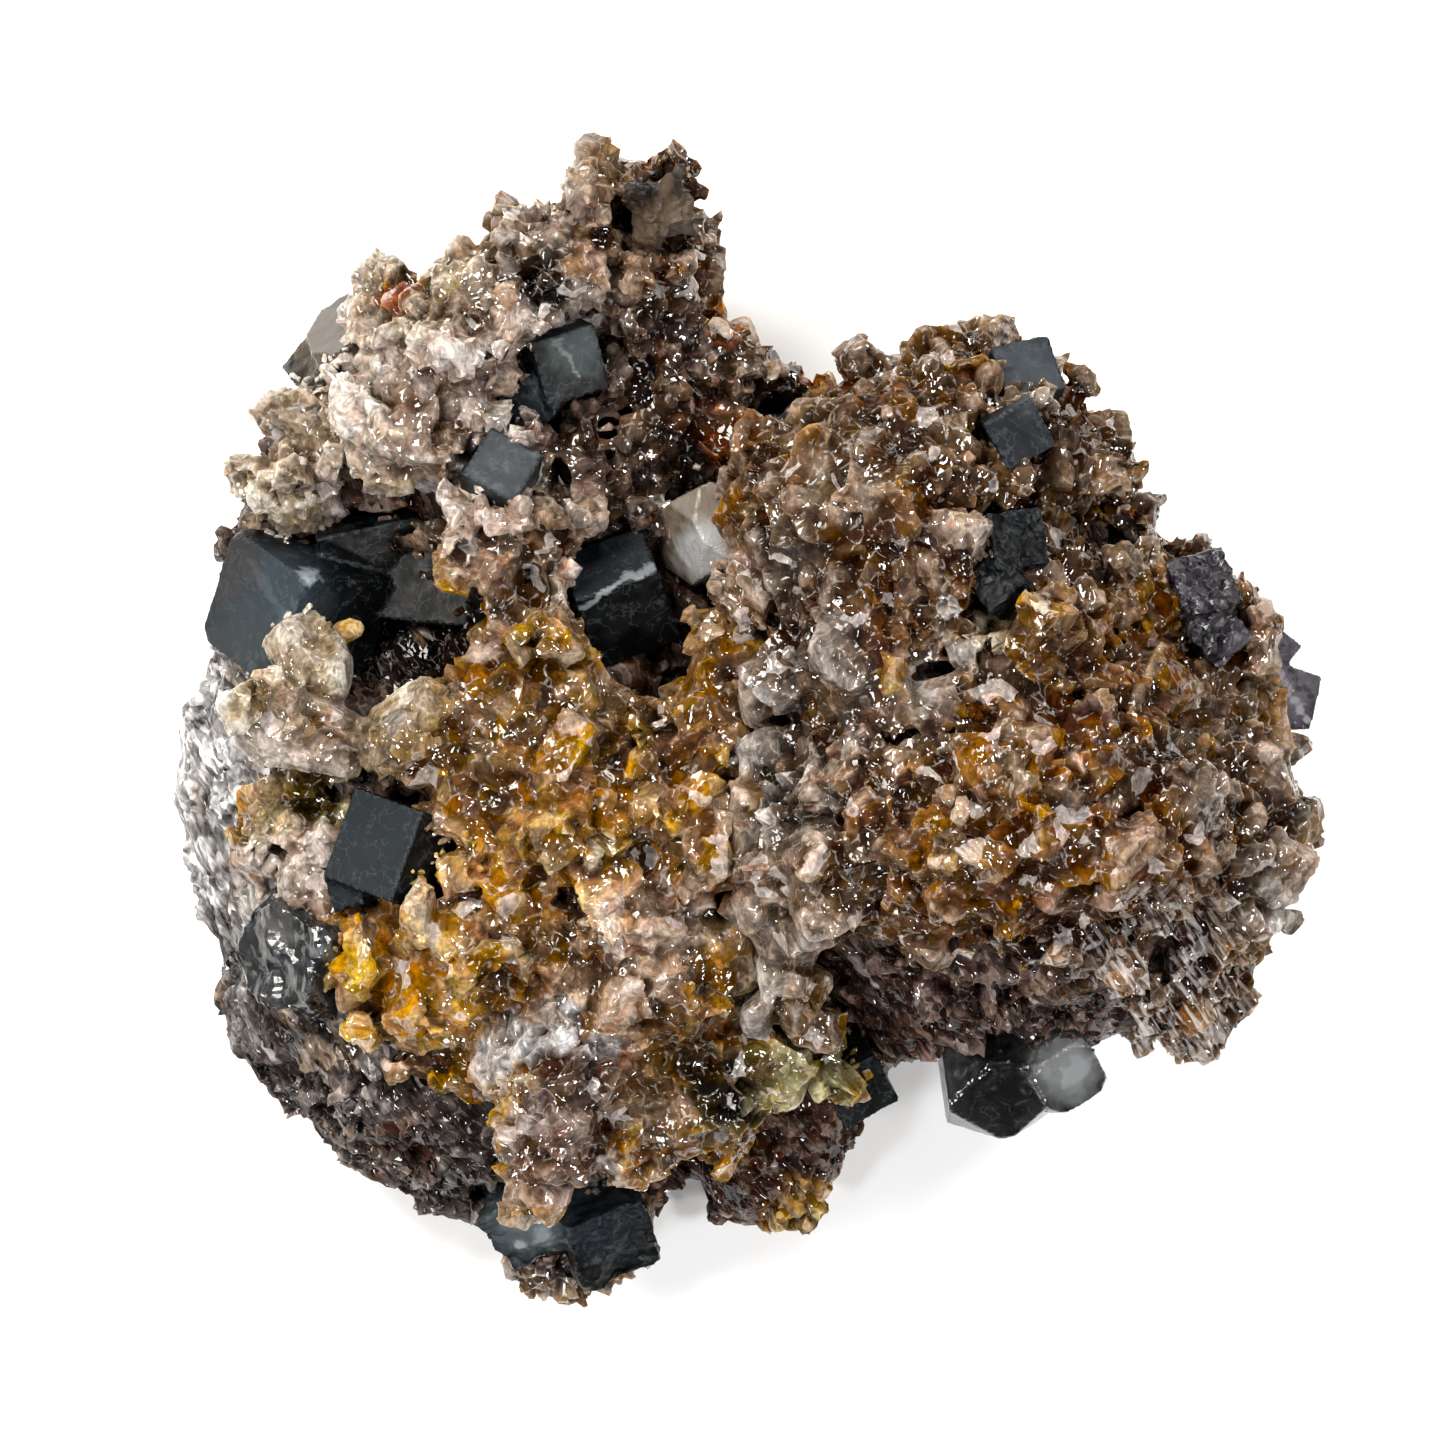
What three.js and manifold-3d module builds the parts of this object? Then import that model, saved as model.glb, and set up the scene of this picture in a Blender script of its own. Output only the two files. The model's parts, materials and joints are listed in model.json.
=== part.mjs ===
// Fluorite specimen: dark fluorite cubes in and on purple-grey host rock, under a thick druse of
// honey and smoky quartz. It lies on its flat back: +Z is the way the show face looks and +Y is the
// upper end of that face. Millimetres. The origin is on the back, under the middle of the whole box.
import * as THREE from "three";
import { ImprovedNoise } from "three/addons/math/ImprovedNoise.js";
import { MeshSurfaceSampler } from "three/addons/math/MeshSurfaceSampler.js";
import { MarchingCubes } from "three/addons/objects/MarchingCubes.js";
import { mergeVertices } from "three/addons/utils/BufferGeometryUtils.js";
import Module from "manifold-3d";

const wasm = await Module();
wasm.setup();

// Driving dimensions
const joint = 0.3; // clear space between two pieces that touch
const backLevel = 0; // the flat back that the specimen rests on
const footprint = 200; // side of the block that the back is cut with
const reach = 112; // side of the cube of space that holds the specimen
const middleOfReach = new THREE.Vector3(0, 0, 26);
const rockCell = 5; // how finely the rock's surface is worked out
const druseCell = 3.75;
const leastShard = 25; // mm3; a loose sliver under this, left by a cut, is dropped
const pointRadius = [1.3, 2.3]; // quartz points, from the smallest to the largest
const pointSlimness = 1.3; // length of a point over its radius
const pointTilt = 0.7; // how far a point may lean off the druse
const pointSpacing = 3;

// How the lumps of each kind melt together, and the waves of their surface: length and height
const rockGrain = { melt: 3, waves: [[17, 2.2], [8, 1.2]] };
const druseGrain = { melt: 2.2, waves: [[9, 1.5], [5.4, 1.3]] };

// The host rock, as overlapping lumps: middle, radii, and turn about Z
const rockLumps = [
  { at: [-22, 2, 11], radii: [22.5, 36, 17] }, // left lobe
  { at: [-26.5, -8, 10], radii: [20.5, 21, 15] }, // its left flank
  { at: [-24, -24, 10], radii: [24, 13.2, 15], turn: -47 }, // its lower left flank
  { at: [-13.5, 32, 12], radii: [10.5, 12, 13] }, // its upper end
  { at: [0, 23, 11], radii: [8.5, 7.5, 12] }, // ridge behind the right lobe
  { at: [2.8, -31.5, 9], radii: [8, 12, 9] }, // low plate at the bottom
  { at: [19, -3, 18], radii: [21, 24.5, 24] }, // right lobe
  { at: [16, 15.5, 20], radii: [13, 13.5, 19] }, // its upper end
  { at: [28, -10, 18], radii: [16, 16.5, 20] }, // its lower end
];

// The druse of the left lobe
const leftDruse = [
  { at: [-8.8, 40, 25], radii: [7.3, 7, 9.5] }, // upper knob
  { at: [-17, 36.5, 26], radii: [8, 6.6, 9] },
  { at: [-24.5, 31.5, 27], radii: [7.8, 7, 9] },
  { at: [-31.5, 25.5, 25], radii: [6, 5.5, 8] },
  { at: [-36.2, 20.5, 21], radii: [5, 4.4, 7] },
  { at: [-26, 23.5, 30], radii: [8, 4.6, 6] },
  { at: [-19, 15.5, 30.5], radii: [4.6, 9, 5.5] }, // tan bridge beside the vug
  { at: [-17, 4, 32], radii: [7.5, 6, 5.5] },
  { at: [-35.5, 1.5, 29], radii: [6.8, 5, 6] }, // pale arm under the vug
  { at: [-26, -0.5, 31], radii: [7, 5, 6] },
  { at: [-14, -6, 31.5], radii: [12, 8, 7] }, // honey field
  { at: [-4.5, -7, 31], radii: [7.5, 8.5, 7] },
  { at: [-19.5, -16, 29.5], radii: [9.5, 7, 7] },
  { at: [-8, -19, 30], radii: [9, 8.5, 7.5] },
  { at: [-29, -22.5, 24.5], radii: [6, 5, 6] }, // orange knobs
  { at: [-22, -27, 23.5], radii: [7, 5, 6] },
  { at: [-14.5, -30, 27], radii: [7, 8.5, 9] }, // grey and white dome
  { at: [-5, -32, 24], radii: [7, 5.5, 7] },
  { at: [2, -27, 26], radii: [6.5, 6, 6] },
  { at: [-37, -8.5, 23], radii: [5, 8.5, 6.5] }, // pale yellow crust of the left flank
  { at: [-31, -14.5, 24], radii: [6, 5, 5.5] },
  { at: [-2.5, 4.5, 30], radii: [4, 4.5, 4.5] }, // golden knob beside the right lobe
  { at: [-5.5, 30.5, 21.5], radii: [5.5, 4.3, 5.5] }, // grey knobs of the hollow between the lobes
  { at: [2, 28, 20], radii: [5.6, 3.2, 7] },
  { at: [-9, 24.5, 23], radii: [8, 6, 4.8] },
  { at: [-13, 18, 23.5], radii: [5, 5, 4.8] },
  { at: [-2.5, 20.5, 22], radii: [5, 5, 5] },
];

// The druse of the right lobe
const rightDruse = [
  { at: [10.5, 17, 35], radii: [12.3, 11, 12.5] }, // upper dome
  { at: [17.5, 24.5, 31.5], radii: [9, 7.5, 11] },
  { at: [25.2, 21, 31], radii: [5.5, 7, 9] },
  { at: [3.5, 15.5, 32], radii: [5.8, 8, 9] },
  { at: [-0.5, 12, 33], radii: [2.3, 2.2, 3] }, // amber nub
  { at: [9, 5, 36], radii: [8.5, 7, 9] }, // saddle between the domes
  { at: [21, 8, 36], radii: [10.5, 8.5, 10] },
  { at: [35, 9, 28.5], radii: [7.5, 6.3, 9] },
  { at: [23, -7.5, 36], radii: [17, 12, 14] }, // lower dome
  { at: [8.5, -8.5, 34.5], radii: [9, 9.5, 11] },
  { at: [37, -8, 28.5], radii: [8.6, 11, 11] },
  { at: [33.5, -18, 26], radii: [8.2, 8.5, 9] },
  { at: [38.5, 3, 27], radii: [5, 6, 8] },
  { at: [3.2, -16, 31], radii: [2.8, 8.5, 9] }, // grey edge of the crust
  { at: [6, -24, 29], radii: [4.5, 3.5, 4] },
];

// The druse at the low end, under the rock
const footDruse = [
  { at: [-15.5, -44.3, 10], radii: [5, 3.2, 6] },
  { at: [-10.8, -44, 10], radii: [3.8, 3, 5] },
];

// Hollows in the druse and rock
const hollows = [
  { at: [-29, 9, 31], radii: [6.5, 8, 11] }, // vug
  { at: [-16, 35.5, 34], radii: [2.6, 1.8, 6] },
  { at: [-35.5, -5.5, 32], radii: [4, 1.6, 5] }, // slit under the pale arm
  { at: [-3, 16.5, 30], radii: [2.8, 3, 6] },
  { at: [-21.8, -11.5, 37], radii: [2.2, 2.2, 5] },
  { at: [-14.3, -14, 37], radii: [1.4, 1.4, 5] },
  { at: [-1.5, -13.8, 37], radii: [2, 2.4, 5] },
  { at: [20.6, 14.2, 47], radii: [2.5, 4.4, 6] },
];

// Quartz points that stand out of each druse
const pointCounts = { left: 20, right: 18, foot: 2 };

// Fluorite cubes and the other single crystals. facing is the way one face looks, and edge the way
// that one of its sides runs. trim is how much of each corner is cut off, from 0, none, to 1.
const crystalGroups = [
  {
    name: "fluorite_vug_cluster",
    color: "#232a31",
    crystals: [
      { at: [-36.8, 9.8, 22.5], size: 10, facing: [-0.72, 0, 0.69], edge: [-0.57, 0.4, -0.6], trim: 0.15 },
      { at: [-30.5, 14, 19.5], size: 8.5, facing: [0.1, -0.35, 0.93], edge: [0.95, 0.2, 0] },
      { at: [-24.6, 12.4, 21], size: 8, facing: [-0.35, 0.05, 0.93], edge: [0.1, 1, 0] },
    ],
  },
  {
    name: "fluorite_bridge_cube",
    color: "#50585f",
    crystals: [{ at: [-19.8, 20.4, 32.6], size: 5, facing: [0.1, 0.35, 0.93], edge: [0.85, -0.5, 0] }],
  },
  {
    name: "fluorite_upper_pair",
    color: "#3c4649",
    crystals: [
      { at: [-15, 30, 27.5], size: 5.6, facing: [0.3, -0.2, 0.9], edge: [1, 0.25, 0] },
      { at: [-17.2, 26.6, 27.5], size: 3.8, facing: [-0.2, -0.3, 0.9], edge: [0.7, 0.7, 0] },
    ],
  },
  {
    name: "fluorite_centre_cube",
    color: "#20262d",
    crystals: [{ at: [-10.2, 10.7, 25.2], size: 7.2, facing: [0.19, -0.54, 0.82], edge: [0.94, 0.33, 0] }],
  },
  {
    name: "calcite_centre_blade",
    color: "#b9b1a4",
    crystals: [
      {
        at: [-3.4, 15.8, 25.4],
        size: [4.6, 6.8, 10],
        facing: [0.3, 0.2, 0.9],
        edge: [0.9, 0.4, 0],
        trim: 0.5,
      },
    ],
  },
  {
    name: "fluorite_black_cube",
    color: "#141418",
    crystals: [
      { at: [-28, -10.2, 29], size: 7.8, facing: [-0.58, 0.21, 0.79], edge: [-0.33, -0.94, 0] },
      { at: [-31.9, -12.9, 28.6], size: 3.2, facing: [-0.5, -0.2, 0.8], edge: [1, 0.3, 0.5] },
    ],
  },
  {
    name: "smoky_crystal_flank",
    color: "#4d4a47",
    crystals: [
      {
        at: [-35.7, -18.3, 23.6],
        size: 8.4,
        facing: [-0.62, -0.1, 0.78],
        edge: [-0.5, -0.8, 0],
        trim: 0.35,
      },
    ],
  },
  {
    name: "fluorite_crown_upper_cube",
    color: "#464c52",
    crystals: [{ at: [22.5, 28, 34.5], size: 5, facing: [0.1, 0.4, 0.9], edge: [0.95, 0.3, 0] }],
  },
  {
    name: "fluorite_crown_lower_cube",
    color: "#3f444a",
    crystals: [{ at: [21.6, 23.8, 40.6], size: 4.4, facing: [0.1, -0.2, 0.95], edge: [0.9, 0.5, 0] }],
  },
  {
    name: "fluorite_pit_cluster",
    color: "#0f0f12",
    crystals: [
      { at: [21, 14.6, 42], size: 4.8, facing: [0.3, 0.2, 0.9], edge: [0.98, 0.17, 0] },
      { at: [20.3, 11.4, 43], size: 4, facing: [-0.3, 0.2, 0.9], edge: [0.8, 0.57, 0] },
    ],
  },
  {
    name: "fluorite_purple_cluster",
    color: "#2a2030",
    crystals: [
      { at: [36.5, 11, 33.5], size: 5.2, facing: [0.2, 0.3, 0.9], edge: [0.94, 0.34, 0] },
      { at: [37.8, 7.8, 33.5], size: 4.2, facing: [0.3, -0.2, 0.9], edge: [0.77, 0.64, 0] },
    ],
  },
  {
    name: "fluorite_edge_pair",
    color: "#8d8795",
    crystals: [
      { at: [43.6, 2.6, 27.5], size: 4.6, facing: [0.5, 0, 0.87], edge: [0.3, 0.94, 0] },
      { at: [42.2, 6, 28], size: 4, facing: [0.3, 0.3, 0.87], edge: [0.64, 0.77, 0] },
    ],
  },
  {
    name: "smoky_crystals_underside",
    color: "#55514c",
    crystals: [
      { at: [20.8, -28.6, 22], size: [9, 7.6, 8], facing: [0.1, -0.5, 0.9], edge: [1, 0.1, 0], trim: 0.6 },
      { at: [25.8, -27.6, 23.5], size: 5.6, facing: [0.3, -0.4, 0.85], edge: [0.87, 0.5, 0], trim: 0.3 },
    ],
  },
  {
    name: "fluorite_foot_pair",
    color: "#252b2e",
    crystals: [
      { at: [-11.8, -41.2, 16], size: 7.4, facing: [0.3, -0.5, 0.8], edge: [0.97, 0.26, 0], trim: 0.15 },
      { at: [-17.8, -40.3, 17], size: 6.4, facing: [-0.1, -0.5, 0.85], edge: [0.82, 0.57, 0] },
    ],
  },
  {
    name: "fluorite_plate_cube",
    color: "#4a5054",
    crystals: [{ at: [9, -29, 21.5], size: 5, facing: [0.2, -0.4, 0.9], edge: [0.87, 0.5, 0] }],
  },
  {
    name: "smoky_crystals_upper_edge",
    color: "#6b6259",
    crystals: [
      { at: [-31.4, 31.2, 22], size: 6.8, facing: [-0.5, 0.6, 0.6], edge: [0.94, 0.34, 0], trim: 0.4 },
      { at: [-35, 29.6, 20], size: 4, facing: [-0.6, 0.3, 0.7], edge: [0.77, 0.64, 0] },
    ],
  },
  {
    name: "fluorite_knob_cube",
    color: "#4b4550",
    crystals: [{ at: [-6.8, 42, 31.5], size: 4.6, facing: [0.2, 0.3, 0.9], edge: [0.9, 0.42, 0] }],
  },
];

const singleCrystals = crystalGroups.flatMap(({ crystals }) => crystals);

const noise = new ImprovedNoise();
const up = new THREE.Vector3(0, 0, 1);

// The same run of random numbers each time
function randomRun(seed) {
  let state = seed;
  return () => {
    state = (state * 1664525 + 1013904223) % 4294967296;
    return state / 4294967296;
  };
}

function solidOf(geometry) {
  const bare = geometry.clone();
  bare.deleteAttribute("normal");
  bare.deleteAttribute("uv");
  const merged = mergeVertices(bare, 1e-3);
  const mesh = new wasm.Mesh({
    numProp: 3,
    vertProperties: merged.attributes.position.array,
    triVerts: new Uint32Array(merged.index.array),
  });
  return new wasm.Manifold(mesh);
}

function union(solids) {
  return solids.reduce((sum, solid) => sum.add(solid));
}

// How far a place is from the surface of one lump, an ellipsoid: under 0 inside it
function offLump({ at, radii, turn = 0 }, place) {
  const offset = place.clone().sub(new THREE.Vector3(...at));
  offset.applyAxisAngle(up, -THREE.MathUtils.degToRad(turn));
  const near = offset.divide(new THREE.Vector3(...radii));
  const steep = near.clone().divide(new THREE.Vector3(...radii));
  const share = near.length();
  return (share * (share - 1)) / Math.max(steep.length(), 1e-6);
}

// How far a place is from a mass of lumps that melt together, with hollows taken out of it
function offMass(lumps, { melt, waves }, place) {
  let off = Infinity;
  for (const each of lumps) {
    const other = offLump(each, place);
    const overlap = Math.max(melt - Math.abs(off - other), 0) / melt;
    off = Math.min(off, other) - (off < Infinity ? (overlap * overlap * melt) / 4 : 0);
  }
  for (const [length, height] of waves) {
    off += height * noise.noise(place.x / length + 7.3, place.y / length + 1.9, place.z / length + 4.1);
  }
  for (const hollow of hollows) {
    off = Math.max(off, -offLump(hollow, place));
  }
  return off;
}

// The surface of a mass, moved out by grow, as flat faces about one cell across
function surfaceOf(lumps, grain, cell, grow = 0) {
  const steps = Math.round(reach / cell);
  const cubes = new MarchingCubes(steps, new THREE.MeshBasicMaterial(), false, false, 40000);
  const place = new THREE.Vector3();
  const leastOff = cell * 0.08; // keeps the surface off the cells' corners, where it makes slivers
  for (let i = 0; i < steps ** 3; i++) {
    place.set(i % steps, Math.floor(i / steps) % steps, Math.floor(i / steps ** 2));
    place.subScalar(steps / 2).multiplyScalar(reach / steps).add(middleOfReach);
    const off = offMass(lumps, grain, place) - grow;
    cubes.field[i] = off < 0 ? Math.max(-off, leastOff) : Math.min(-off, -leastOff);
  }
  cubes.isolation = 0;
  cubes.update();
  const geometry = new THREE.BufferGeometry();
  const corners = cubes.positionArray.slice(0, cubes.count * 3);
  geometry.setAttribute("position", new THREE.BufferAttribute(corners, 3));
  geometry.scale(reach / 2, reach / 2, reach / 2);
  geometry.translate(...middleOfReach);
  return geometry;
}

// A six-sided quartz point, rooted in the druse and leaning off it a little
function quartzPoint({ place, axis, radius, spin }, grow) {
  const length = radius * pointSlimness;
  const profile = [
    new THREE.Vector2(0, -length / 2 - grow * 1.6),
    new THREE.Vector2(radius + grow, 0),
    new THREE.Vector2(0, length + grow * 1.6),
  ];
  const geometry = new THREE.LatheGeometry(profile, 6);
  geometry.rotateY(spin);
  geometry.applyQuaternion(new THREE.Quaternion().setFromUnitVectors(new THREE.Vector3(0, 1, 0), axis));
  geometry.translate(...place);
  return solidOf(geometry);
}

// Where the quartz points of a druse stand: on its open face, clear of the rock and the crystals
function quartzPoints(lumps, count, seed) {
  const random = randomRun(seed);
  const between = (low, high) => low + (high - low) * random();
  const surface = new THREE.Mesh(surfaceOf(lumps, druseGrain, druseCell));
  surface.geometry.computeVertexNormals();
  const sampler = new MeshSurfaceSampler(surface).setRandomGenerator(random).build();
  const found = [];
  for (let tries = 0; found.length < count && tries < count * 60; tries++) {
    const place = new THREE.Vector3();
    const normal = new THREE.Vector3();
    sampler.sample(place, normal);
    const clear = singleCrystals.every(({ at, size }) => {
      const room = Math.max(...[size].flat()) * 0.9;
      return new THREE.Vector3(...at).distanceTo(place) > room;
    });
    const roomy = found.every((other) => other.place.distanceTo(place) > pointSpacing);
    if (!clear || !roomy || offMass(rockLumps, rockGrain, place) < joint || normal.z < -0.2) {
      continue;
    }
    const lean = new THREE.Vector3(between(-pointTilt, pointTilt), between(-pointTilt, pointTilt), 0);
    const axis = normal.add(lean).normalize();
    found.push({ place, axis, radius: between(...pointRadius), spin: between(0, Math.PI / 3) });
  }
  return found;
}

// A crystal: a box, its corners cut by an eight-sided form where it is trimmed
function crystal({ at, size, facing, edge, trim = 0 }, grow) {
  const sides = (Array.isArray(size) ? size : [size, size, size]).map((side) => side + grow * 2);
  let solid = solidOf(new THREE.BoxGeometry(...sides));
  if (trim > 0) {
    const trimmer = new THREE.OctahedronGeometry(1.5 - 0.75 * trim);
    trimmer.scale(...sides);
    solid = solid.intersect(solidOf(trimmer));
  }
  const z = new THREE.Vector3(...facing).normalize();
  const y = z.clone().cross(new THREE.Vector3(...edge)).normalize();
  const placing = new THREE.Matrix4().makeBasis(y.clone().cross(z), y, z).setPosition(...at);
  return solid.transform(placing.elements);
}

// The one body of a cut piece, without the slivers that the cut left loose
function wholeBody(name, solid) {
  const bodies = solid.decompose().sort((a, b) => b.volume() - a.volume());
  const loose = bodies.slice(1).map((body) => body.volume()).filter((volume) => volume > leastShard);
  if (loose.length > 0) {
    throw new Error(`${name} falls into pieces: ${loose.map((v) => v.toFixed(0))} mm3 loose`);
  }
  return bodies[0];
}

function meshOf(name, solid, color, roughness) {
  const found = wholeBody(name, solid).getMesh();
  const geometry = new THREE.BufferGeometry();
  geometry.setAttribute("position", new THREE.BufferAttribute(found.vertProperties, 3));
  geometry.setIndex(new THREE.BufferAttribute(found.triVerts, 1));
  geometry.computeVertexNormals();
  const material = new THREE.MeshStandardMaterial({ color, roughness, metalness: 0, flatShading: true });
  const mesh = new THREE.Mesh(geometry, material);
  mesh.name = name;
  return mesh;
}

const block = new THREE.BoxGeometry(footprint, footprint, footprint);
block.translate(0, 0, backLevel - footprint / 2);
const belowBack = solidOf(block);

const leftPoints = quartzPoints(leftDruse, pointCounts.left, 11);
const rightPoints = quartzPoints(rightDruse, pointCounts.right, 23);
const footPoints = quartzPoints(footDruse, pointCounts.foot, 37);

const rock = (grow) => solidOf(surfaceOf(rockLumps, rockGrain, rockCell, grow)).subtract(belowBack);
function druse(lumps, points, grow) {
  const mass = solidOf(surfaceOf(lumps, druseGrain, druseCell, grow));
  return union([mass, ...points.map((p) => quartzPoint(p, grow))]);
}
const crystalRoom = union(singleCrystals.map((c) => crystal(c, joint)));

// What a druse leaves room for: the rock and its back, the crystals and, on the left, the right druse
const bareRock = rock(0);
const bareRight = druse(rightDruse, rightPoints, 0);
const rockRoom = bareRock.add(rock(joint)).add(crystalRoom).add(belowBack);
const rightRoom = bareRight.add(druse(rightDruse, rightPoints, joint));

const hostRock = bareRock.subtract(crystalRoom);
const right = bareRight.subtract(rockRoom);
const left = druse(leftDruse, leftPoints, 0).subtract(rockRoom).subtract(rightRoom);
const foot = druse(footDruse, footPoints, 0).subtract(rockRoom);

const specimen = new THREE.Group();
specimen.add(meshOf("host_rock", hostRock, "#4a4044", 0.6));
specimen.add(meshOf("druse_left", left, "#b08a50", 0.25));
specimen.add(meshOf("druse_right", right, "#7d6448", 0.25));
specimen.add(meshOf("druse_foot", foot, "#a09080", 0.3));
for (const { name, color, crystals } of crystalGroups) {
  specimen.add(meshOf(name, union(crystals.map((c) => crystal(c, 0))), color, 0.12));
}

// The origin goes under the middle of the whole box
const box = new THREE.Box3().setFromObject(specimen);
const middle = box.getCenter(new THREE.Vector3());
specimen.position.set(-middle.x, -middle.y, -box.min.z);

export default specimen;
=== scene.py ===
# Fluorite specimen: dark fluorite in and on purple-grey rock, under a honey and smoky quartz druse.
# Metres. +Z is the way the show face looks and +Y its upper end. The plan is the show face in mm.
import json
import math
import random

import bmesh
import bpy
import numpy as np
from mathutils import Matrix, Vector, noise


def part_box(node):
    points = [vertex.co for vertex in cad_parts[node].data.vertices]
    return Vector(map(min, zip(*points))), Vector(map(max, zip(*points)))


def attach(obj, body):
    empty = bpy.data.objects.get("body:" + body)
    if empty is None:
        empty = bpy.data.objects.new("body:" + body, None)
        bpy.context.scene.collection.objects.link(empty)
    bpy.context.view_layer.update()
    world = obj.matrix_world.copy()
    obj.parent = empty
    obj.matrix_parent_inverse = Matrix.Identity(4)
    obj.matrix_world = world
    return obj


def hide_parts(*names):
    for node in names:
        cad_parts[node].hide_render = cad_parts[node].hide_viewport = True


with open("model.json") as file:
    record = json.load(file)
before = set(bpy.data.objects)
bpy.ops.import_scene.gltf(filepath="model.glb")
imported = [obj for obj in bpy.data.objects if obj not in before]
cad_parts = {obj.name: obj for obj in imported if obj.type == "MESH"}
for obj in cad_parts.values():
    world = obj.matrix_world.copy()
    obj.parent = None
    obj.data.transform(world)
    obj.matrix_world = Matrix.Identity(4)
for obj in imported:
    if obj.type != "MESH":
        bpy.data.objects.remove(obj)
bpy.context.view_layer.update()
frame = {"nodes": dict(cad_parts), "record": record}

mm = 0.001
plateCubePlan = Vector((9, -29, 21.5))  # where the plan has the middle of this cube, in mm
plateCubeLow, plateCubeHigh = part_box("fluorite_plate_cube")
planOrigin = (plateCubeLow + plateCubeHigh) / 2 - plateCubePlan * mm

# Colours of the stone: its painted shade in the cracks, its body, and its painted highlight on raised edges
palette = {
    "tan": ("#5a3c29", "#dfcabc", "#fff6f1"),
    "ash": ("#241309", "#543b25", "#9d8872"),
    "honey": ("#3f260b", "#84591c", "#c2995c"),
    "amber": ("#50300b", "#bf862a", "#efc983"),
    "rust": ("#733508", "#a55d12", "#d39238"),
    "clear": ("#392413", "#715942", "#c6b2a0"),
    "smoke": ("#2a211b", "#766d65", "#d6d1cd"),
    "brown": ("#260f04", "#41270f", "#93775c"),
    "gold": ("#341a05", "#57340a", "#9c6c2c"),
    "pale": ("#5a452c", "#c0ad92", "#f8f0e2"),
    "yellow": ("#4d3f1c", "#a3976c", "#ece4ba"),
    "pink": ("#4a2f20", "#a08068", "#e3cdbd"),
    "lilac": ("#40281c", "#8a6f63", "#d9cac4"),
    "plum": ("#1a100e", "#412d26", "#837169"),
    "umber": ("#1e0a05", "#3f251b", "#705a4e"),
    "shale": ("#130e0d", "#3f3633", "#948b86"),
    "slate": ("#151011", "#4a4645", "#aaa6a6"),
    # Painted sheen and glints: near white for the rock's flank and the crust's glinting patches, dark in the
    # cracks
    "silver": ("#161210", "#f2f0f0", "#ffffff"),
    # Painted glints: clear crystal painted pale, whitening on its edges, where it reflects the lamps
    "frost": ("#55473a", "#a39484", "#fbf6f0"),
    "olive": ("#120b03", "#3c2d12", "#7c6a3c"),
    # Painted shade: near black for the insides of holes and the vug
    "dark": ("#030202", "#0d0907", "#2a221e"),
}
bodyShare = 0.36  # how much of its colour the stone scatters back: the rest of the light goes into it
richness = 1.3  # how far its colours are from grey
noiseMiddle = (0.5, 0.5, 0.5)  # a noise's colour is this on average
softNoise = (0.4, 0.6)  # a noise with little detail lies mostly between these
fullNoise = (0.3, 0.7)  # and one with more detail between these
noHeight = (1, 1, 0)  # times a place, this leaves where it is on the plan


def toLinear(text):
    values = [int(text[i : i + 2], 16) / 255 for i in (1, 3, 5)]
    return tuple(v / 12.92 if v <= 0.04045 else ((v + 0.055) / 1.055) ** 2.4 for v in values)


# A colour as the stone shows it, for a socket
def stoneColor(text, strength=1):
    return (*(v * strength * bodyShare for v in toLinear(text)), 1)


# Adds a node with its settings and gives one of its outputs, if it has any. Each input is a value or
# another node's output. Inputs come in the order of the sockets, or in named by socket name or number.
def addNode(tree, kind, *inputs, named=None, output=0, **settings):
    node = tree.nodes.new(kind)
    for name, value in settings.items():
        setattr(node, name, value)
    for socket, value in [*enumerate(inputs), *(named or {}).items()]:
        if isinstance(value, bpy.types.NodeSocket):
            tree.links.new(value, node.inputs[socket])
        else:
            node.inputs[socket].default_value = value
    return node.outputs[output] if len(node.outputs) else None


def newShapeTree(name):
    tree = bpy.data.node_groups.new(name, "GeometryNodeTree")
    for side in ("INPUT", "OUTPUT"):
        tree.interface.new_socket("Geometry", in_out=side, socket_type="NodeSocketGeometry")
    return tree, addNode(tree, "NodeGroupInput")


def newMaterial(name):
    made = bpy.data.materials.new(name)
    made.use_nodes = True
    tree = made.node_tree
    return made, tree, tree.nodes["Principled BSDF"]


def newObject(name, mesh):
    made = bpy.data.objects.new(name, mesh)
    bpy.context.scene.collection.objects.link(made)
    return made


def finalMesh(made, name):
    bpy.context.view_layer.update()
    seen = bpy.context.evaluated_depsgraph_get()
    mesh = bpy.data.meshes.new_from_object(made.evaluated_get(seen), depsgraph=seen)
    mesh.name = name
    return mesh


def nodeCopy(nodeName):
    mesh = frame["nodes"][nodeName].data.copy()
    bm = bmesh.new()
    bm.from_mesh(mesh)
    bmesh.ops.remove_doubles(bm, verts=bm.verts, dist=1e-6)
    bmesh.ops.recalc_face_normals(bm, faces=bm.faces)
    bm.to_mesh(mesh)
    bm.free()
    mesh.materials.clear()
    return mesh


def addRemesh(made, voxel):
    remesh = made.modifiers.new("remesh", "REMESH")
    remesh.mode = "VOXEL"
    remesh.voxel_size = voxel * mm


def addThinning(made, share):
    thinning = made.modifiers.new("facets", "DECIMATE")
    thinning.ratio = share


def addTree(made, tree):
    made.modifiers.new(tree.name, "NODES").node_group = tree


def onlyMaterial(made, material):
    made.data.materials.clear()
    made.data.materials.append(material)


def valuesOf(mesh, name):
    values = np.empty(len(mesh.vertices), np.float32)
    mesh.attributes[name].data.foreach_get("value", values)
    return values


def vectorsOf(mesh, name):
    flat = np.empty(len(mesh.vertices) * 3, np.float32)
    mesh.vertices.foreach_get(name, flat)
    return flat.reshape(-1, 3)


def addPointValues(mesh, name, values):
    mesh.attributes.new(name, "FLOAT", "POINT").data.foreach_set("value", values.astype(np.float32))


flatBack = {  # heights above it, in mm
    "clear": (0.2, 2),  # the relief grows from nothing between these
    "bare": 1.6,  # no crystal stands lower
}


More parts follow.
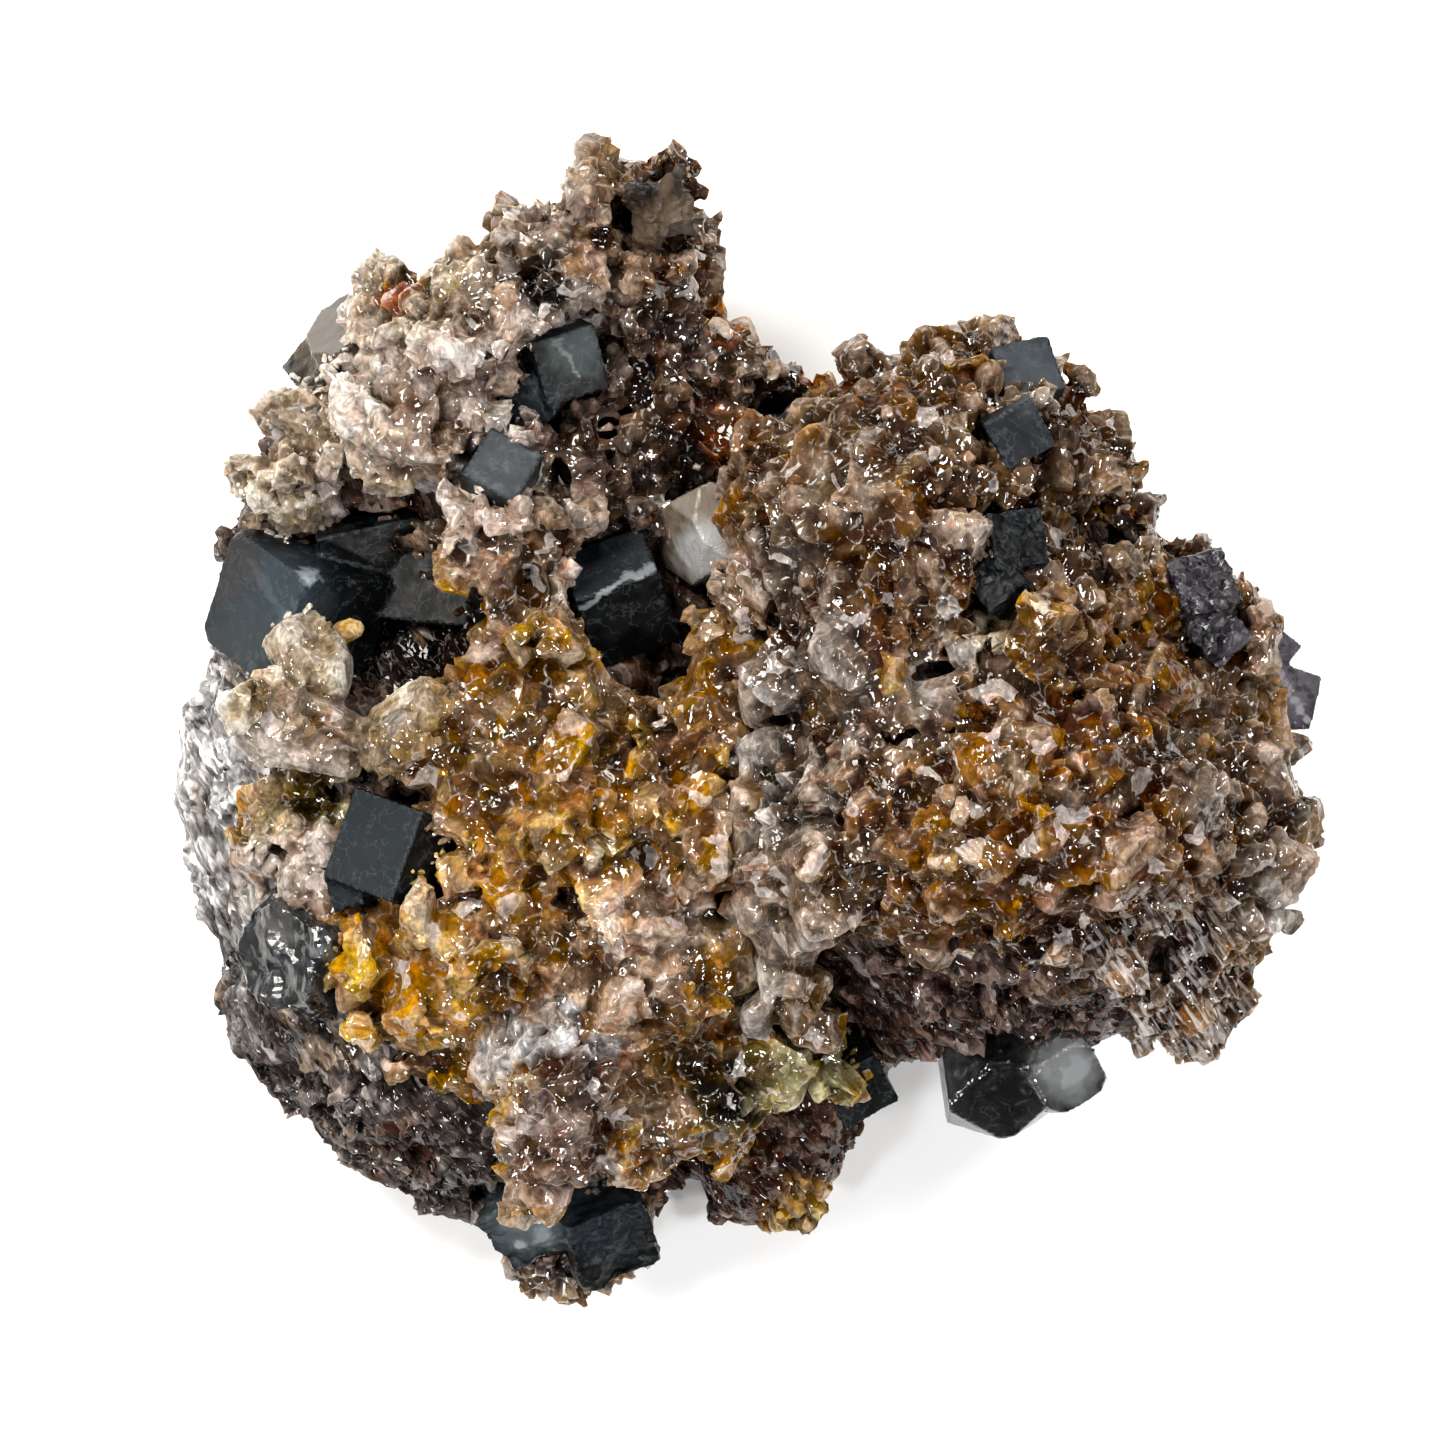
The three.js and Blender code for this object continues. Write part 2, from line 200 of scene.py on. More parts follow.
# Moves a surface out along its normals, but not on the flat back
def moveOut(tree, shape, distance):
    place = addNode(tree, "GeometryNodeInputPosition")
    height = addNode(tree, "ShaderNodeSeparateXYZ", place, output="Z")
    low, high = (level * mm for level in flatBack["clear"])
    offBack = addNode(tree, "ShaderNodeMapRange", height, low, high)
    distance = addNode(tree, "ShaderNodeMath", distance, offBack, operation="MULTIPLY")
    normal = addNode(tree, "GeometryNodeInputNormal")
    offset = addNode(tree, "ShaderNodeVectorMath", normal, named={"Scale": distance}, operation="SCALE")
    return addNode(tree, "GeometryNodeSetPosition", shape, named={"Offset": offset})


# A value that goes over from one to another with the distance from a place of the plan. The radius is
# in mm, and the fade says between which shares of it the value changes.
def nearPlan(tree, flat, place, radius, fade, values):
    centre = (planOrigin.x + place[0] * mm, planOrigin.y + place[1] * mm, 0)
    off = addNode(tree, "ShaderNodeVectorMath", flat, centre, operation="DISTANCE", output="Value")
    inner, outer = (share * radius * mm for share in fade)
    return addNode(tree, "ShaderNodeMapRange", off, inner, outer, *values)


# Coordinates that are bent by a noise of a size, as far as a reach, both in mm
def bentBy(tree, coords, size, reach, detail=2.0):
    waves = {"Vector": coords, "Scale": 1 / (size * mm), "Detail": detail}
    warp = addNode(tree, "ShaderNodeTexNoise", named=waves, output="Color")
    astray = addNode(tree, "ShaderNodeVectorMath", warp, noiseMiddle, operation="SUBTRACT")
    astray = addNode(tree, "ShaderNodeVectorMath", astray, named={"Scale": reach * mm}, operation="SCALE")
    return addNode(tree, "ShaderNodeVectorMath", coords, astray, operation="ADD")


# How far a place is from other objects, the nearest one counting
def distanceTo(tree, others):
    nearest = None
    for other in others:
        shape = addNode(tree, "GeometryNodeObjectInfo", named={"Object": other}, output="Geometry")
        near = addNode(tree, "GeometryNodeProximity", shape, target_element="FACES", output="Distance")
        if nearest is not None:
            near = addNode(tree, "ShaderNodeMath", nearest, near, operation="MINIMUM")
        nearest = near
    return nearest


# Small crystals that the stone is strewn with, about one unit across
crystalCut = {"reach": 0.72, "sunk": 0.3}  # shares of the crystal's size and of its height
crystalShapes = {  # the sides of a box and how many of its corners are cut off
    "block": (
        ((1, 0.8, 0.6), 4),
        ((0.9, 0.9, 0.5), 5),
        ((1.1, 0.7, 0.45), 4),
        ((0.8, 0.8, 0.7), 6),
        ((1.1, 0.5, 0.6), 5),
    ),
    "chip": (
        ((1, 0.6, 0.5), 8),
        ((1.1, 0.7, 0.35), 8),
        ((1.2, 0.5, 0.4), 9),
        ((0.7, 0.5, 0.9), 9),
        ((1.3, 0.4, 0.5), 8),
    ),
}
quartzPoint = {"width": 0.45, "length": 0.6, "rise": 0.55, "end": 0.12}  # rise and end: shares of its width


# Cuts off what lies past a place, and closes the cut with a flat face
def cutFlat(bm, place, way):
    geom = bm.verts[:] + bm.edges[:] + bm.faces[:]
    bmesh.ops.bisect_plane(bm, geom=geom, plane_co=place, plane_no=way, clear_outer=True)
    bmesh.ops.holes_fill(bm, edges=[e for e in bm.edges if e.is_boundary])


def looseShape(bm, name):
    bmesh.ops.triangulate(bm, faces=bm.faces)
    mesh = bpy.data.meshes.new(name)
    bm.to_mesh(mesh)
    bm.free()
    return bpy.data.objects.new(name, mesh)


# A box with some of its corners cut off
def cutBlock(name, sides, cuts):
    bm = bmesh.new()
    bmesh.ops.create_cube(bm, size=1)
    bmesh.ops.scale(bm, vec=sides, verts=bm.verts)
    for i in range(cuts):
        way = noise.random_unit_vector()
        reach = sum(abs(way[k]) * sides[k] / 2 for k in range(3))
        cutFlat(bm, way * reach * crystalCut["reach"], way)
    bmesh.ops.translate(bm, vec=(0, 0, -crystalCut["sunk"] * sides[2]), verts=bm.verts)
    return looseShape(bm, name)


def quartzTip(name, width, length, rise, end):
    bm = bmesh.new()
    bmesh.ops.create_cone(bm, cap_ends=True, segments=6, radius1=width / 2, radius2=width / 2, depth=length)
    top = max(bm.faces, key=lambda face: face.calc_center_median().z)
    grown = bmesh.ops.extrude_face_region(bm, geom=[top])["geom"]
    rim = [v for v in grown if isinstance(v, bmesh.types.BMVert)]
    bmesh.ops.translate(bm, vec=(0, 0, width * rise), verts=rim)
    bmesh.ops.scale(bm, vec=(end, end, 1), verts=rim)
    return looseShape(bm, name)


noise.seed_set(11)
crystalSets = {}
for name, shapes in crystalShapes.items():
    crystals = bpy.data.collections.new(name + "s")
    for i, (sides, cuts) in enumerate(shapes):
        crystals.objects.link(cutBlock(f"{name}{i + 1}", sides, cuts))
    crystalSets[crystals.name] = crystals
crystalSets["chips"].objects.link(quartzTip("tip2", **quartzPoint))

strewing = {
    "density": 4e6,  # points a square metre before their spacing is kept
    "gap": 1.1,  # mm; nothing is strewn where another piece is this near
    "hollow": 0.3,  # nor where the surface is this much of a hole
    "seeds": {"turn": 50, "size": 60, "kind": 70, "shade": 80},  # added to the crystals' own seed
    "smaller": 1.5,  # power that makes small crystals more frequent
}


# Points on the open surface of a shape, clear of the pieces that hide it
def openPoints(tree, shape, crystals, clearOf):
    inputs = {
        "Mesh": shape,
        "Distance Min": crystals["spacing"] * mm,
        "Density Max": strewing["density"],
        "Seed": crystals["seed"],
    }
    points = addNode(
        tree, "GeometryNodeDistributePointsOnFaces", named=inputs, distribute_method="POISSON"
    ).node.outputs
    place = addNode(tree, "GeometryNodeInputPosition")
    height = addNode(tree, "ShaderNodeSeparateXYZ", place, output="Z")
    drop = addNode(tree, "ShaderNodeMath", height, flatBack["bare"] * mm, operation="LESS_THAN")
    if clearOf:
        near = distanceTo(tree, [frame["nodes"][nodeName] for nodeName in clearOf])
        near = addNode(tree, "ShaderNodeMath", near, strewing["gap"] * mm, operation="LESS_THAN")
        drop = addNode(tree, "ShaderNodeMath", drop, near, operation="MAXIMUM")
    hollow = addNode(tree, "GeometryNodeInputNamedAttribute", named={"Name": "hollow"}, data_type="FLOAT")
    hollow = addNode(tree, "ShaderNodeMath", hollow, strewing["hollow"], operation="GREATER_THAN")
    drop = addNode(tree, "ShaderNodeMath", drop, hollow, operation="MAXIMUM")
    kept = addNode(tree, "GeometryNodeDeleteGeometry", points["Points"], drop)
    return kept, points["Rotation"]


# Crystals on points, each turned, sized and shaded by chance
def strewn(tree, points, rotation, crystals):
    seed = {name: crystals["seed"] + step for name, step in strewing["seeds"].items()}
    tilt = crystals["tilt"]
    leans = {"Min": (-tilt, -tilt, -math.pi), "Max": (tilt, tilt, math.pi), "Seed": seed["turn"]}
    turn = addNode(tree, "FunctionNodeRandomValue", named=leans, data_type="FLOAT_VECTOR")
    turned = addNode(tree, "FunctionNodeRotateRotation", rotation, turn, rotation_space="LOCAL")
    chances = {}
    for name in ("size", "shade"):
        limits = {2: 0.0, 3: 1.0, "Seed": seed[name]}
        chances[name] = addNode(tree, "FunctionNodeRandomValue", named=limits, data_type="FLOAT", output=1)
    limits = {4: 0, 5: 99, "Seed": seed["kind"]}
    which = addNode(tree, "FunctionNodeRandomValue", named=limits, data_type="INT", output=2)
    small = addNode(tree, "ShaderNodeMath", chances["size"], strewing["smaller"], operation="POWER")
    low, high = (size * mm for size in crystals["size"])
    size = addNode(tree, "ShaderNodeMapRange", small, named={"To Min": low, "To Max": high})
    shapes = {
        "Collection": crystalSets[crystals["shapes"]],
        "Separate Children": True,
        "Reset Children": True,
    }
    source = addNode(tree, "GeometryNodeCollectionInfo", named=shapes)
    standing = {
        "Points": points,
        "Instance": source,
        "Pick Instance": True,
        "Instance Index": which,
        "Rotation": turned,
        "Scale": size,
    }
    standing = addNode(tree, "GeometryNodeInstanceOnPoints", named=standing)
    shade = {"Geometry": standing, "Name": "shade", "Value": chances["shade"]}
    shaded = addNode(
        tree, "GeometryNodeStoreNamedAttribute", named=shade, data_type="FLOAT", domain="INSTANCE"
    )
    return addNode(tree, "GeometryNodeRealizeInstances", shaded)


bareStone = {
    "voxel": 0.8,  # mm
    "meeting": (0.5, 4),  # mm from another crust, over which the swells grow from nothing
    "bulgeFade": (0.4, 1),
    "facing": 0.1,  # how far a normal points up where holes are sunk and lumps are set
}


# Swells of the stone before its crystals
def swellTree(part):
    tree, shape = newShapeTree(part["name"] + "_swells")
    place = addNode(tree, "GeometryNodeInputPosition")
    size, height = part["swells"]
    waves = {"Vector": place, "Scale": 1 / (size * mm), "Detail": 2.0}
    swell = addNode(tree, "ShaderNodeTexNoise", named=waves)
    swell = addNode(tree, "ShaderNodeMath", swell, 0.5, operation="SUBTRACT")
    swell = addNode(tree, "ShaderNodeMath", swell, 2 * height * mm, operation="MULTIPLY")
    rise = addNode(tree, "ShaderNodeMath", swell, part["sink"] * mm, operation="SUBTRACT")
    flat = addNode(tree, "ShaderNodeVectorMath", place, noHeight, operation="MULTIPLY")
    for middle, radius, height in part["bulges"]:
        bulge = nearPlan(tree, flat, middle, radius, bareStone["bulgeFade"], (height * mm, 0))
        rise = addNode(tree, "ShaderNodeMath", rise, bulge, operation="ADD")
    if part["meets"]:
        off = distanceTo(tree, [frame["nodes"][nodeName] for nodeName in part["meets"]])
        near, far = (reach * mm for reach in bareStone["meeting"])
        share = addNode(tree, "ShaderNodeMapRange", off, near, far, 0, 1)
        rise = addNode(tree, "ShaderNodeMath", rise, share, operation="MULTIPLY")
    addNode(tree, "NodeGroupOutput", moveOut(tree, shape, rise))
    return tree


lumpShape = {
    "cuts": 14,  # flat faces on each
    "reach": 0.36,  # of the cuts from the middle, where the round lump reaches 0.5
    "sunk": 0.3,  # share of its height that lies in the stone
    "near": 12,  # points of the stone whose mean height it stands on
    "behind": 50,  # mm; keeps points of the underside out of them
    "own": 0.65,  # how far its own colour takes over
}


# The large single crystals of the crust, each at its place of the plan: rounded, with a few flat faces
def lumpMesh(part, bare):
    co = (vectorsOf(bare.data, "co") - np.array(planOrigin)) / mm
    facing = vectorsOf(bare.data, "normal")[:, 2] > bareStone["facing"]
    bm = bmesh.new()
    kinds, shades = [], []
    for name, (x, y), (wide, long, high), turn in part["lumps"]:
        off = np.hypot(co[:, 0] - x, co[:, 1] - y) + lumpShape["behind"] * ~facing
        level = co[np.argsort(off)[: lumpShape["near"]], 2].mean() - lumpShape["sunk"] * high
        made = bmesh.new()
        bmesh.ops.create_icosphere(made, subdivisions=3, radius=0.5)
        for i in range(lumpShape["cuts"]):
            way = noise.random_unit_vector()
            cutFlat(made, way * lumpShape["reach"], way)
        bmesh.ops.scale(made, vec=(wide, long, 2 * high), verts=made.verts)
        bmesh.ops.rotate(made, matrix=Matrix.Rotation(math.radians(turn), 3, "Z"), verts=made.verts)
        bmesh.ops.translate(made, vec=(x, y, level), verts=made.verts)
        bmesh.ops.scale(made, vec=(mm, mm, mm), verts=made.verts)
        bmesh.ops.translate(made, vec=planOrigin, verts=made.verts)
        piece = bpy.data.meshes.new("lump")
        made.to_mesh(piece)
        bm.from_mesh(piece)
        kinds += [list(palette).index(name) + 1] * len(piece.vertices)
        shades += [noise.random()] * len(piece.vertices)
        made.free()
        bpy.data.meshes.remove(piece)
    mesh = bpy.data.meshes.new(part["name"] + "_lumps")
    bm.to_mesh(mesh)
    bm.free()
    addPointValues(mesh, "kind", np.array(kinds))
    addPointValues(mesh, "shade", np.array(shades))
    return mesh


# Crystals that are one with the stone, which a remesh then fuses
def fusedTree(part, lumps):
    tree, shape = newShapeTree(part["name"] + "_fused")
    both = addNode(tree, "GeometryNodeJoinGeometry", shape)
    placed = addNode(tree, "GeometryNodeObjectInfo", named={"Object": lumps}, output="Geometry")
    tree.links.new(placed, both.node.inputs[0])
    for crystals in part["fused"]:
        points, rotation = openPoints(tree, shape, crystals, part["clearOf"])
        tree.links.new(strewn(tree, points, rotation, crystals), both.node.inputs[0])
    addNode(tree, "NodeGroupOutput", both)
    return tree


grain = {
    "bend": 0.9,  # how far the faces' edges wander, as a share of their size
    "level": 0.6,  # share of the faces' own heights that lies under the surface
    "zones": 7,  # mm
    "busy": (0.35, 1.15),  # how strongly the faces stand out, from zone to zone
    "calm": 0.4,  # and how strongly at the part's calm places
    "calmFade": (0.7, 1.2),
    "lump": 0.5,  # and on its lumps
}
granule = {  # round grains
    "size": 1.7,  # mm
    "edge": 0.7,  # where a grain ends, as a share of its size
    "rise": (0.5, -0.45),  # mm, from its middle to its edge
    "fade": (0.7, 1.1),
}
hiddenSkin = {
    "gap": 0.88,  # mm; a surface that is this near to another piece is hidden by it
    "kept": 0.15,  # share of its triangles that stays
}


# Crystals packed side by side, each a flat face with its own lean and its own height. Gives the height
# of the faces and each crystal's own number. Size in mm, lean as a slope, and step the heights' spread.
def mosaic(tree, place, size, lean, step):
    bent = bentBy(tree, place, size, grain["bend"] * size)
    pattern = {"Vector": bent, "Scale": 1 / (size * mm)}
    cells = addNode(tree, "ShaderNodeTexVoronoi", named=pattern).node.outputs
    way = addNode(tree, "ShaderNodeVectorMath", cells["Color"], noiseMiddle, operation="SUBTRACT")
    off = addNode(tree, "ShaderNodeVectorMath", place, cells["Position"], operation="SUBTRACT")
    slope = addNode(tree, "ShaderNodeVectorMath", off, way, operation="DOT_PRODUCT", output="Value")
    slope = addNode(tree, "ShaderNodeMath", slope, 2 * lean, operation="MULTIPLY")
    own = addNode(tree, "ShaderNodeSeparateXYZ", cells["Color"])
    height = addNode(tree, "ShaderNodeMath", own, grain["level"], operation="SUBTRACT")
    height = addNode(tree, "ShaderNodeMath", height, step * mm, operation="MULTIPLY")
    return addNode(tree, "ShaderNodeMath", slope, height, operation="ADD"), own


# How strongly the faces stand out: more in some zones, less where the crust is calm and on its lumps
def busyShare(tree, place, flat, kind, calmPlaces):
    waves = {"Vector": place, "Scale": 1 / (grain["zones"] * mm), "Detail": 1.0}
    zones = addNode(tree, "ShaderNodeTexNoise", named=waves)
    busy = addNode(tree, "ShaderNodeMapRange", zones, *softNoise, *grain["busy"])
    for middle, radius in calmPlaces:
        near = nearPlan(tree, flat, middle, radius, grain["calmFade"], (grain["calm"], 1))
        busy = addNode(tree, "ShaderNodeMath", busy, near, operation="MULTIPLY")
    onLump = addNode(tree, "ShaderNodeMapRange", kind, 0, 0.5, 1, grain["lump"])  # kind is 0 off the lumps
    return addNode(tree, "ShaderNodeMath", busy, onLump, operation="MULTIPLY")


# The crystal faces of the fused surface. It keeps how far each point stands out of the bare stone,
# which crystal and which kind of lump it belongs to, and whether another piece hides it.
def grainTree(part, bare, units):
    tree, shape = newShapeTree(part["name"] + "_grain")
    place = addNode(tree, "GeometryNodeInputPosition")
    flat = addNode(tree, "ShaderNodeVectorMath", place, noHeight, operation="MULTIPLY")
    unitShape = addNode(tree, "GeometryNodeObjectInfo", named={"Object": units}, output="Geometry")
    ofUnit = {}
    for name in ("shade", "kind"):
        value = addNode(tree, "GeometryNodeInputNamedAttribute", named={"Name": name}, data_type="FLOAT")
        nearest = {"Mesh": unitShape, "Value": value}
        ofUnit[name] = addNode(tree, "GeometryNodeSampleNearestSurface", named=nearest, data_type="FLOAT")
    ridge, own = mosaic(tree, place, *part["faces"])
    fine = mosaic(tree, place, *part["splinters"])[0]
    ridge = addNode(tree, "ShaderNodeMath", ridge, fine, operation="ADD")
    busy = busyShare(tree, place, flat, ofUnit["kind"], part["calm"])
    ridge = addNode(tree, "ShaderNodeMath", ridge, busy, operation="MULTIPLY")
    pattern = {"Vector": place, "Scale": 1 / (granule["size"] * mm)}
    grains = addNode(tree, "ShaderNodeTexVoronoi", named=pattern, output="Distance")
    dome = addNode(tree, "ShaderNodeMapRange", grains, 0, granule["edge"], *granule["rise"])
    for middle, radius in part["granules"]:
        there = nearPlan(tree, flat, middle, radius, granule["fade"], (mm, 0))
        there = addNode(tree, "ShaderNodeMath", dome, there, operation="MULTIPLY")
        ridge = addNode(tree, "ShaderNodeMath", ridge, there, operation="ADD")
    unit = addNode(tree, "ShaderNodeMath", ofUnit["shade"], own, operation="ADD")
    hidden = distanceTo(tree, [frame["nodes"][nodeName] for nodeName in part["clearOf"]])
    keptValues = {
        "kind": ofUnit["kind"],
        "unit": addNode(tree, "ShaderNodeMath", unit, operation="FRACT"),
        "rise": addNode(tree, "ShaderNodeMath", distanceTo(tree, [bare]), mm, operation="DIVIDE"),
        "cover": addNode(tree, "ShaderNodeMath", hidden, hiddenSkin["gap"] * mm, operation="LESS_THAN"),
    }
    for name, value in keptValues.items():
        point = {"Geometry": shape, "Name": name, "Value": value}
        shape = addNode(
            tree, "GeometryNodeStoreNamedAttribute", named=point, data_type="FLOAT", domain="POINT"
        )
    addNode(tree, "NodeGroupOutput", moveOut(tree, shape, ridge))
    return tree


# Where the small pits lie on the plan, and how far their sizes and depths go from the part's own
pitChance = {"x": (-45, 45), "y": (-35, 45), "size": (0.6, 1.5), "depth": (0.6, 1.4)}


# How deep each place of the plan lies in the part's holes and pits, from 0 to 1, and the drop in mm
def hollowAt(plan, part):
    count, seed, radius, depth = part["pits"]
    chance = random.Random(seed)
    holes = list(part["holes"])
    for i in range(count):
        size = radius * chance.uniform(*pitChance["size"])
        x, y = (chance.uniform(*pitChance[side]) for side in ("x", "y"))
        holes.append((x, y, size, depth * chance.uniform(*pitChance["depth"])))
    share = np.zeros(len(plan))
    drop = np.zeros(len(plan))
    for x, y, radius, depth in holes:  # flat in the middle and steep at the rim
        near = np.exp(-((((plan[:, 0] - x) ** 2 + (plan[:, 1] - y) ** 2) / radius**2) ** 2))
        share = np.maximum(share, near)
        drop = np.maximum(drop, near * depth)
    return share, drop


def sinkHoles(mesh, part):
    co = vectorsOf(mesh, "co")
    facing = vectorsOf(mesh, "normal")[:, 2] > bareStone["facing"]
    share, drop = hollowAt((co - np.array(planOrigin)) / mm, part)
    co[:, 2] -= drop * facing * mm
    mesh.vertices.foreach_set("co", co.ravel())
    addPointValues(mesh, "hollow", share * facing)


# Fewer triangles where another piece hides the surface, then the flat facets of broken crystal
def thinHidden(mesh, name, facetShare):
    hidden = np.flatnonzero(valuesOf(mesh, "cover") > 0.5)
    made = newObject(name, mesh)
    made.vertex_groups.new(name="hidden").add(hidden.tolist(), 1.0, "REPLACE")
    thin = made.modifiers.new("thin", "DECIMATE")
    thin.vertex_group = "hidden"
    thin.ratio = 1 - (1 - hiddenSkin["kept"]) * len(hidden) / len(mesh.vertices)
    addThinning(made, facetShare)
    thinned = finalMesh(made, name)
    bpy.data.objects.remove(made)
    return thinned


# The stone's stages: the bare stone, the crystals that stand on it, one skin over all, and its faces
def stoneMesh(part):
    name = part["name"]
    raw = newObject(name + "_raw", nodeCopy(part["node"]))
    addRemesh(raw, bareStone["voxel"])
    addTree(raw, swellTree(part))
    bare = newObject(name + "_bare", finalMesh(raw, name + "_bare"))
    sinkHoles(bare.data, part)
    lumps = newObject(name + "_lumps", lumpMesh(part, bare))
    carrier = newObject(name + "_carrier", bare.data.copy())
    addTree(carrier, fusedTree(part, lumps))
    units = newObject(name + "_units", finalMesh(carrier, name + "_units"))
    grown = newObject(name + "_grown", units.data.copy())
    addRemesh(grown, part["voxel"])
    addTree(grown, grainTree(part, bare, units))
    mesh = thinHidden(finalMesh(grown, name + "_whole"), name, part["facets"])
    for made in (raw, bare, lumps, carrier, units, grown):
        bpy.data.objects.remove(made)
    return mesh


# How hollow the surface is at each point, in mm: the more rounds, the wider the hollows that count
def cavityOf(mesh, rounds):
    co = vectorsOf(mesh, "co")
    count = len(co)
    ends = np.empty(len(mesh.edges) * 2, np.int32)
    mesh.edges.foreach_get("vertices", ends)
    first, second = ends.reshape(-1, 2).T
    links = np.bincount(ends, minlength=count) + 1
    smooth = co.astype(np.float64)
    for i in range(rounds):
        total = smooth.copy()
        for k in range(3):
            total[:, k] += np.bincount(first, weights=smooth[second, k], minlength=count)
            total[:, k] += np.bincount(second, weights=smooth[first, k], minlength=count)
        smooth = total / links[:, None]
    return ((smooth - co) * vectorsOf(mesh, "normal")).sum(1) / mm


# What makes a point darker or lighter, as weights: painted shade in hollows and holes, painted light where
# it stands out, and patches and clouds at random, whose sizes are in mm
toning = {
    "fineRounds": 3,  # of the smoothing that shows the hollows
    "fine": 0.13,  # painted shade in narrow hollows
    "broadRounds": 16,
    "broad": 0.14,  # painted shade in wide hollows
    "rise": 0.06,  # how far it stands out of the bare stone: painted light where it stands out
    "patches": 1.7,
    "patchy": 0.25,
    "clouds": 5.5,
    "cloudy": 0.35,
    "deeper": 0.06,  # the same everywhere
    "rim": 0.4,  # mm out of the bare stone, from which a hole's painted shade is fainter
    # how strongly the holes and pits get painted shade
    "hollow": 1.5,
    "own": (0.75, 0.5),  # the darkest crystal's own shade, and how much the palest has more
}
# How a spot of colour ends: waves of a size and reach in mm, the fade as shares of its radius, and how
# much the patches and the crystals' own numbers change its share
spotEdge = {
    "waves": 3.2,
    "reach": 1.6,
    "outer": 1.25,
    "fade": 0.5,
    "share": 1.1,
    "patchy": 0.7,
    "unit": 0.6,
}
greyWeights = (0.2126, 0.7152, 0.0722)  # how light red, green and blue look


# Each point's colour: the ground's, then each spot's. Cracks and holes get painted shade, raised edges
# a painted highlight, and a crystal can be a stray one of another colour.
def paint(mesh, part):
    co = vectorsOf(mesh, "co")
    plan = (co - np.array(planOrigin)) / mm
    rise = valuesOf(mesh, "rise")
    unit = valuesOf(mesh, "unit")
    patchy = np.array([noise.noise(Vector(p) / toning["patches"]) for p in plan])
    cloudy = np.array([noise.noise(Vector(p) / toning["clouds"]) for p in plan])
    wander = np.array([noise.noise_vector(Vector(p) / spotEdge["waves"]) for p in plan])
    fine, broad = (cavityOf(mesh, toning[name]) for name in ("fineRounds", "broadRounds"))
    # Painted shade in narrow and wide hollows, painted light where the surface stands out
    tone = 0.5 - toning["fine"] * fine / fine.std() - toning["broad"] * broad / broad.std()
    tone += (
        toning["rise"] * (rise - rise.mean()) / rise.std()
        + toning["patchy"] * patchy
        + toning["cloudy"] * cloudy
        - toning["deeper"]
    )
    firstChance = unit % 0.2 / 0.2  # two more numbers for each crystal, from its own
    secondChance = unit * 7.3 % 1
    # Painted shade in the holes and pits, fading where the surface stands out of them
    hollow = hollowAt(plan, part)[0] * (1 - np.clip(rise - toning["rim"], 0, 1))
    tone -= toning["hollow"] * hollow
    toBody = np.clip(tone * 2, 0, 1)[:, None]
    toEdge = np.clip(tone * 2 - 1, 0, 1)[:, None]

    def shades(name):
        deep, body, edge = (np.array(toLinear(text)) * bodyShare for text in palette[name])
        return (deep * (1 - toBody) + body * toBody) * (1 - toEdge) + edge * toEdge

    def mixed(tint, name, share):
        return tint * (1 - share[:, None]) + shades(name) * share[:, None]

    tint = shades(part["ground"])
    reach = spotEdge["reach"]
    uneven = spotEdge["share"] + spotEdge["patchy"] * patchy + spotEdge["unit"] * (firstChance - 0.5)
    for name, (x, y), radius, strength in part["spots"]:
        off = np.hypot(plan[:, 0] + reach * wander[:, 0] - x, plan[:, 1] + reach * wander[:, 1] - y) / radius
        share = np.clip((spotEdge["outer"] - off) / spotEdge["fade"], 0, 1) * strength
        tint = mixed(tint, name, np.clip(share * uneven, 0, 1))
    for name, low, high, share in part["strays"]:
        tint = mixed(tint, name, ((unit > low) & (unit < high)) * share)
    kind = valuesOf(mesh, "kind")
    for name in sorted({lump[0] for lump in part["lumps"]}):
        own = np.clip(1 - 2 * np.abs(kind - list(palette).index(name) - 1), 0, 1)
        tint = mixed(tint, name, own * lumpShape["own"])
    darkest, spread = toning["own"]
    tint *= (darkest + spread * secondChance)[:, None]
    grey = (tint @ greyWeights)[:, None]
    rgba = np.ones((len(co), 4), np.float32)
    rgba[:, :3] = np.clip(grey + (tint - grey) * richness, 0, 1)
    layer = mesh.attributes.new("tint", "FLOAT_COLOR", "POINT")
    layer.data.foreach_set("color", rgba.ravel())
    addPointValues(mesh, "hollow", hollow)


ridgeSteepness = 5.0


# Sharp ridges where a noise crosses its middle: the folds of a wet-looking, half-melted surface
def ridges(tree, coords, size):
    waves = {"Vector": coords, "Scale": 1 / (size * mm), "Detail": 2.0}
    fold = addNode(tree, "ShaderNodeTexNoise", named=waves)
    fold = addNode(tree, "ShaderNodeMath", fold, 0.5, operation="SUBTRACT")
    fold = addNode(tree, "ShaderNodeMath", fold, operation="ABSOLUTE")
    fold = addNode(tree, "ShaderNodeMath", fold, ridgeSteepness, operation="MULTIPLY")
    return addNode(tree, "ShaderNodeMath", 1.0, fold, operation="SUBTRACT")


quartzIor = 1.544
streakTurn = math.radians(56)  # the rock's streaks and the white threads run down to the right
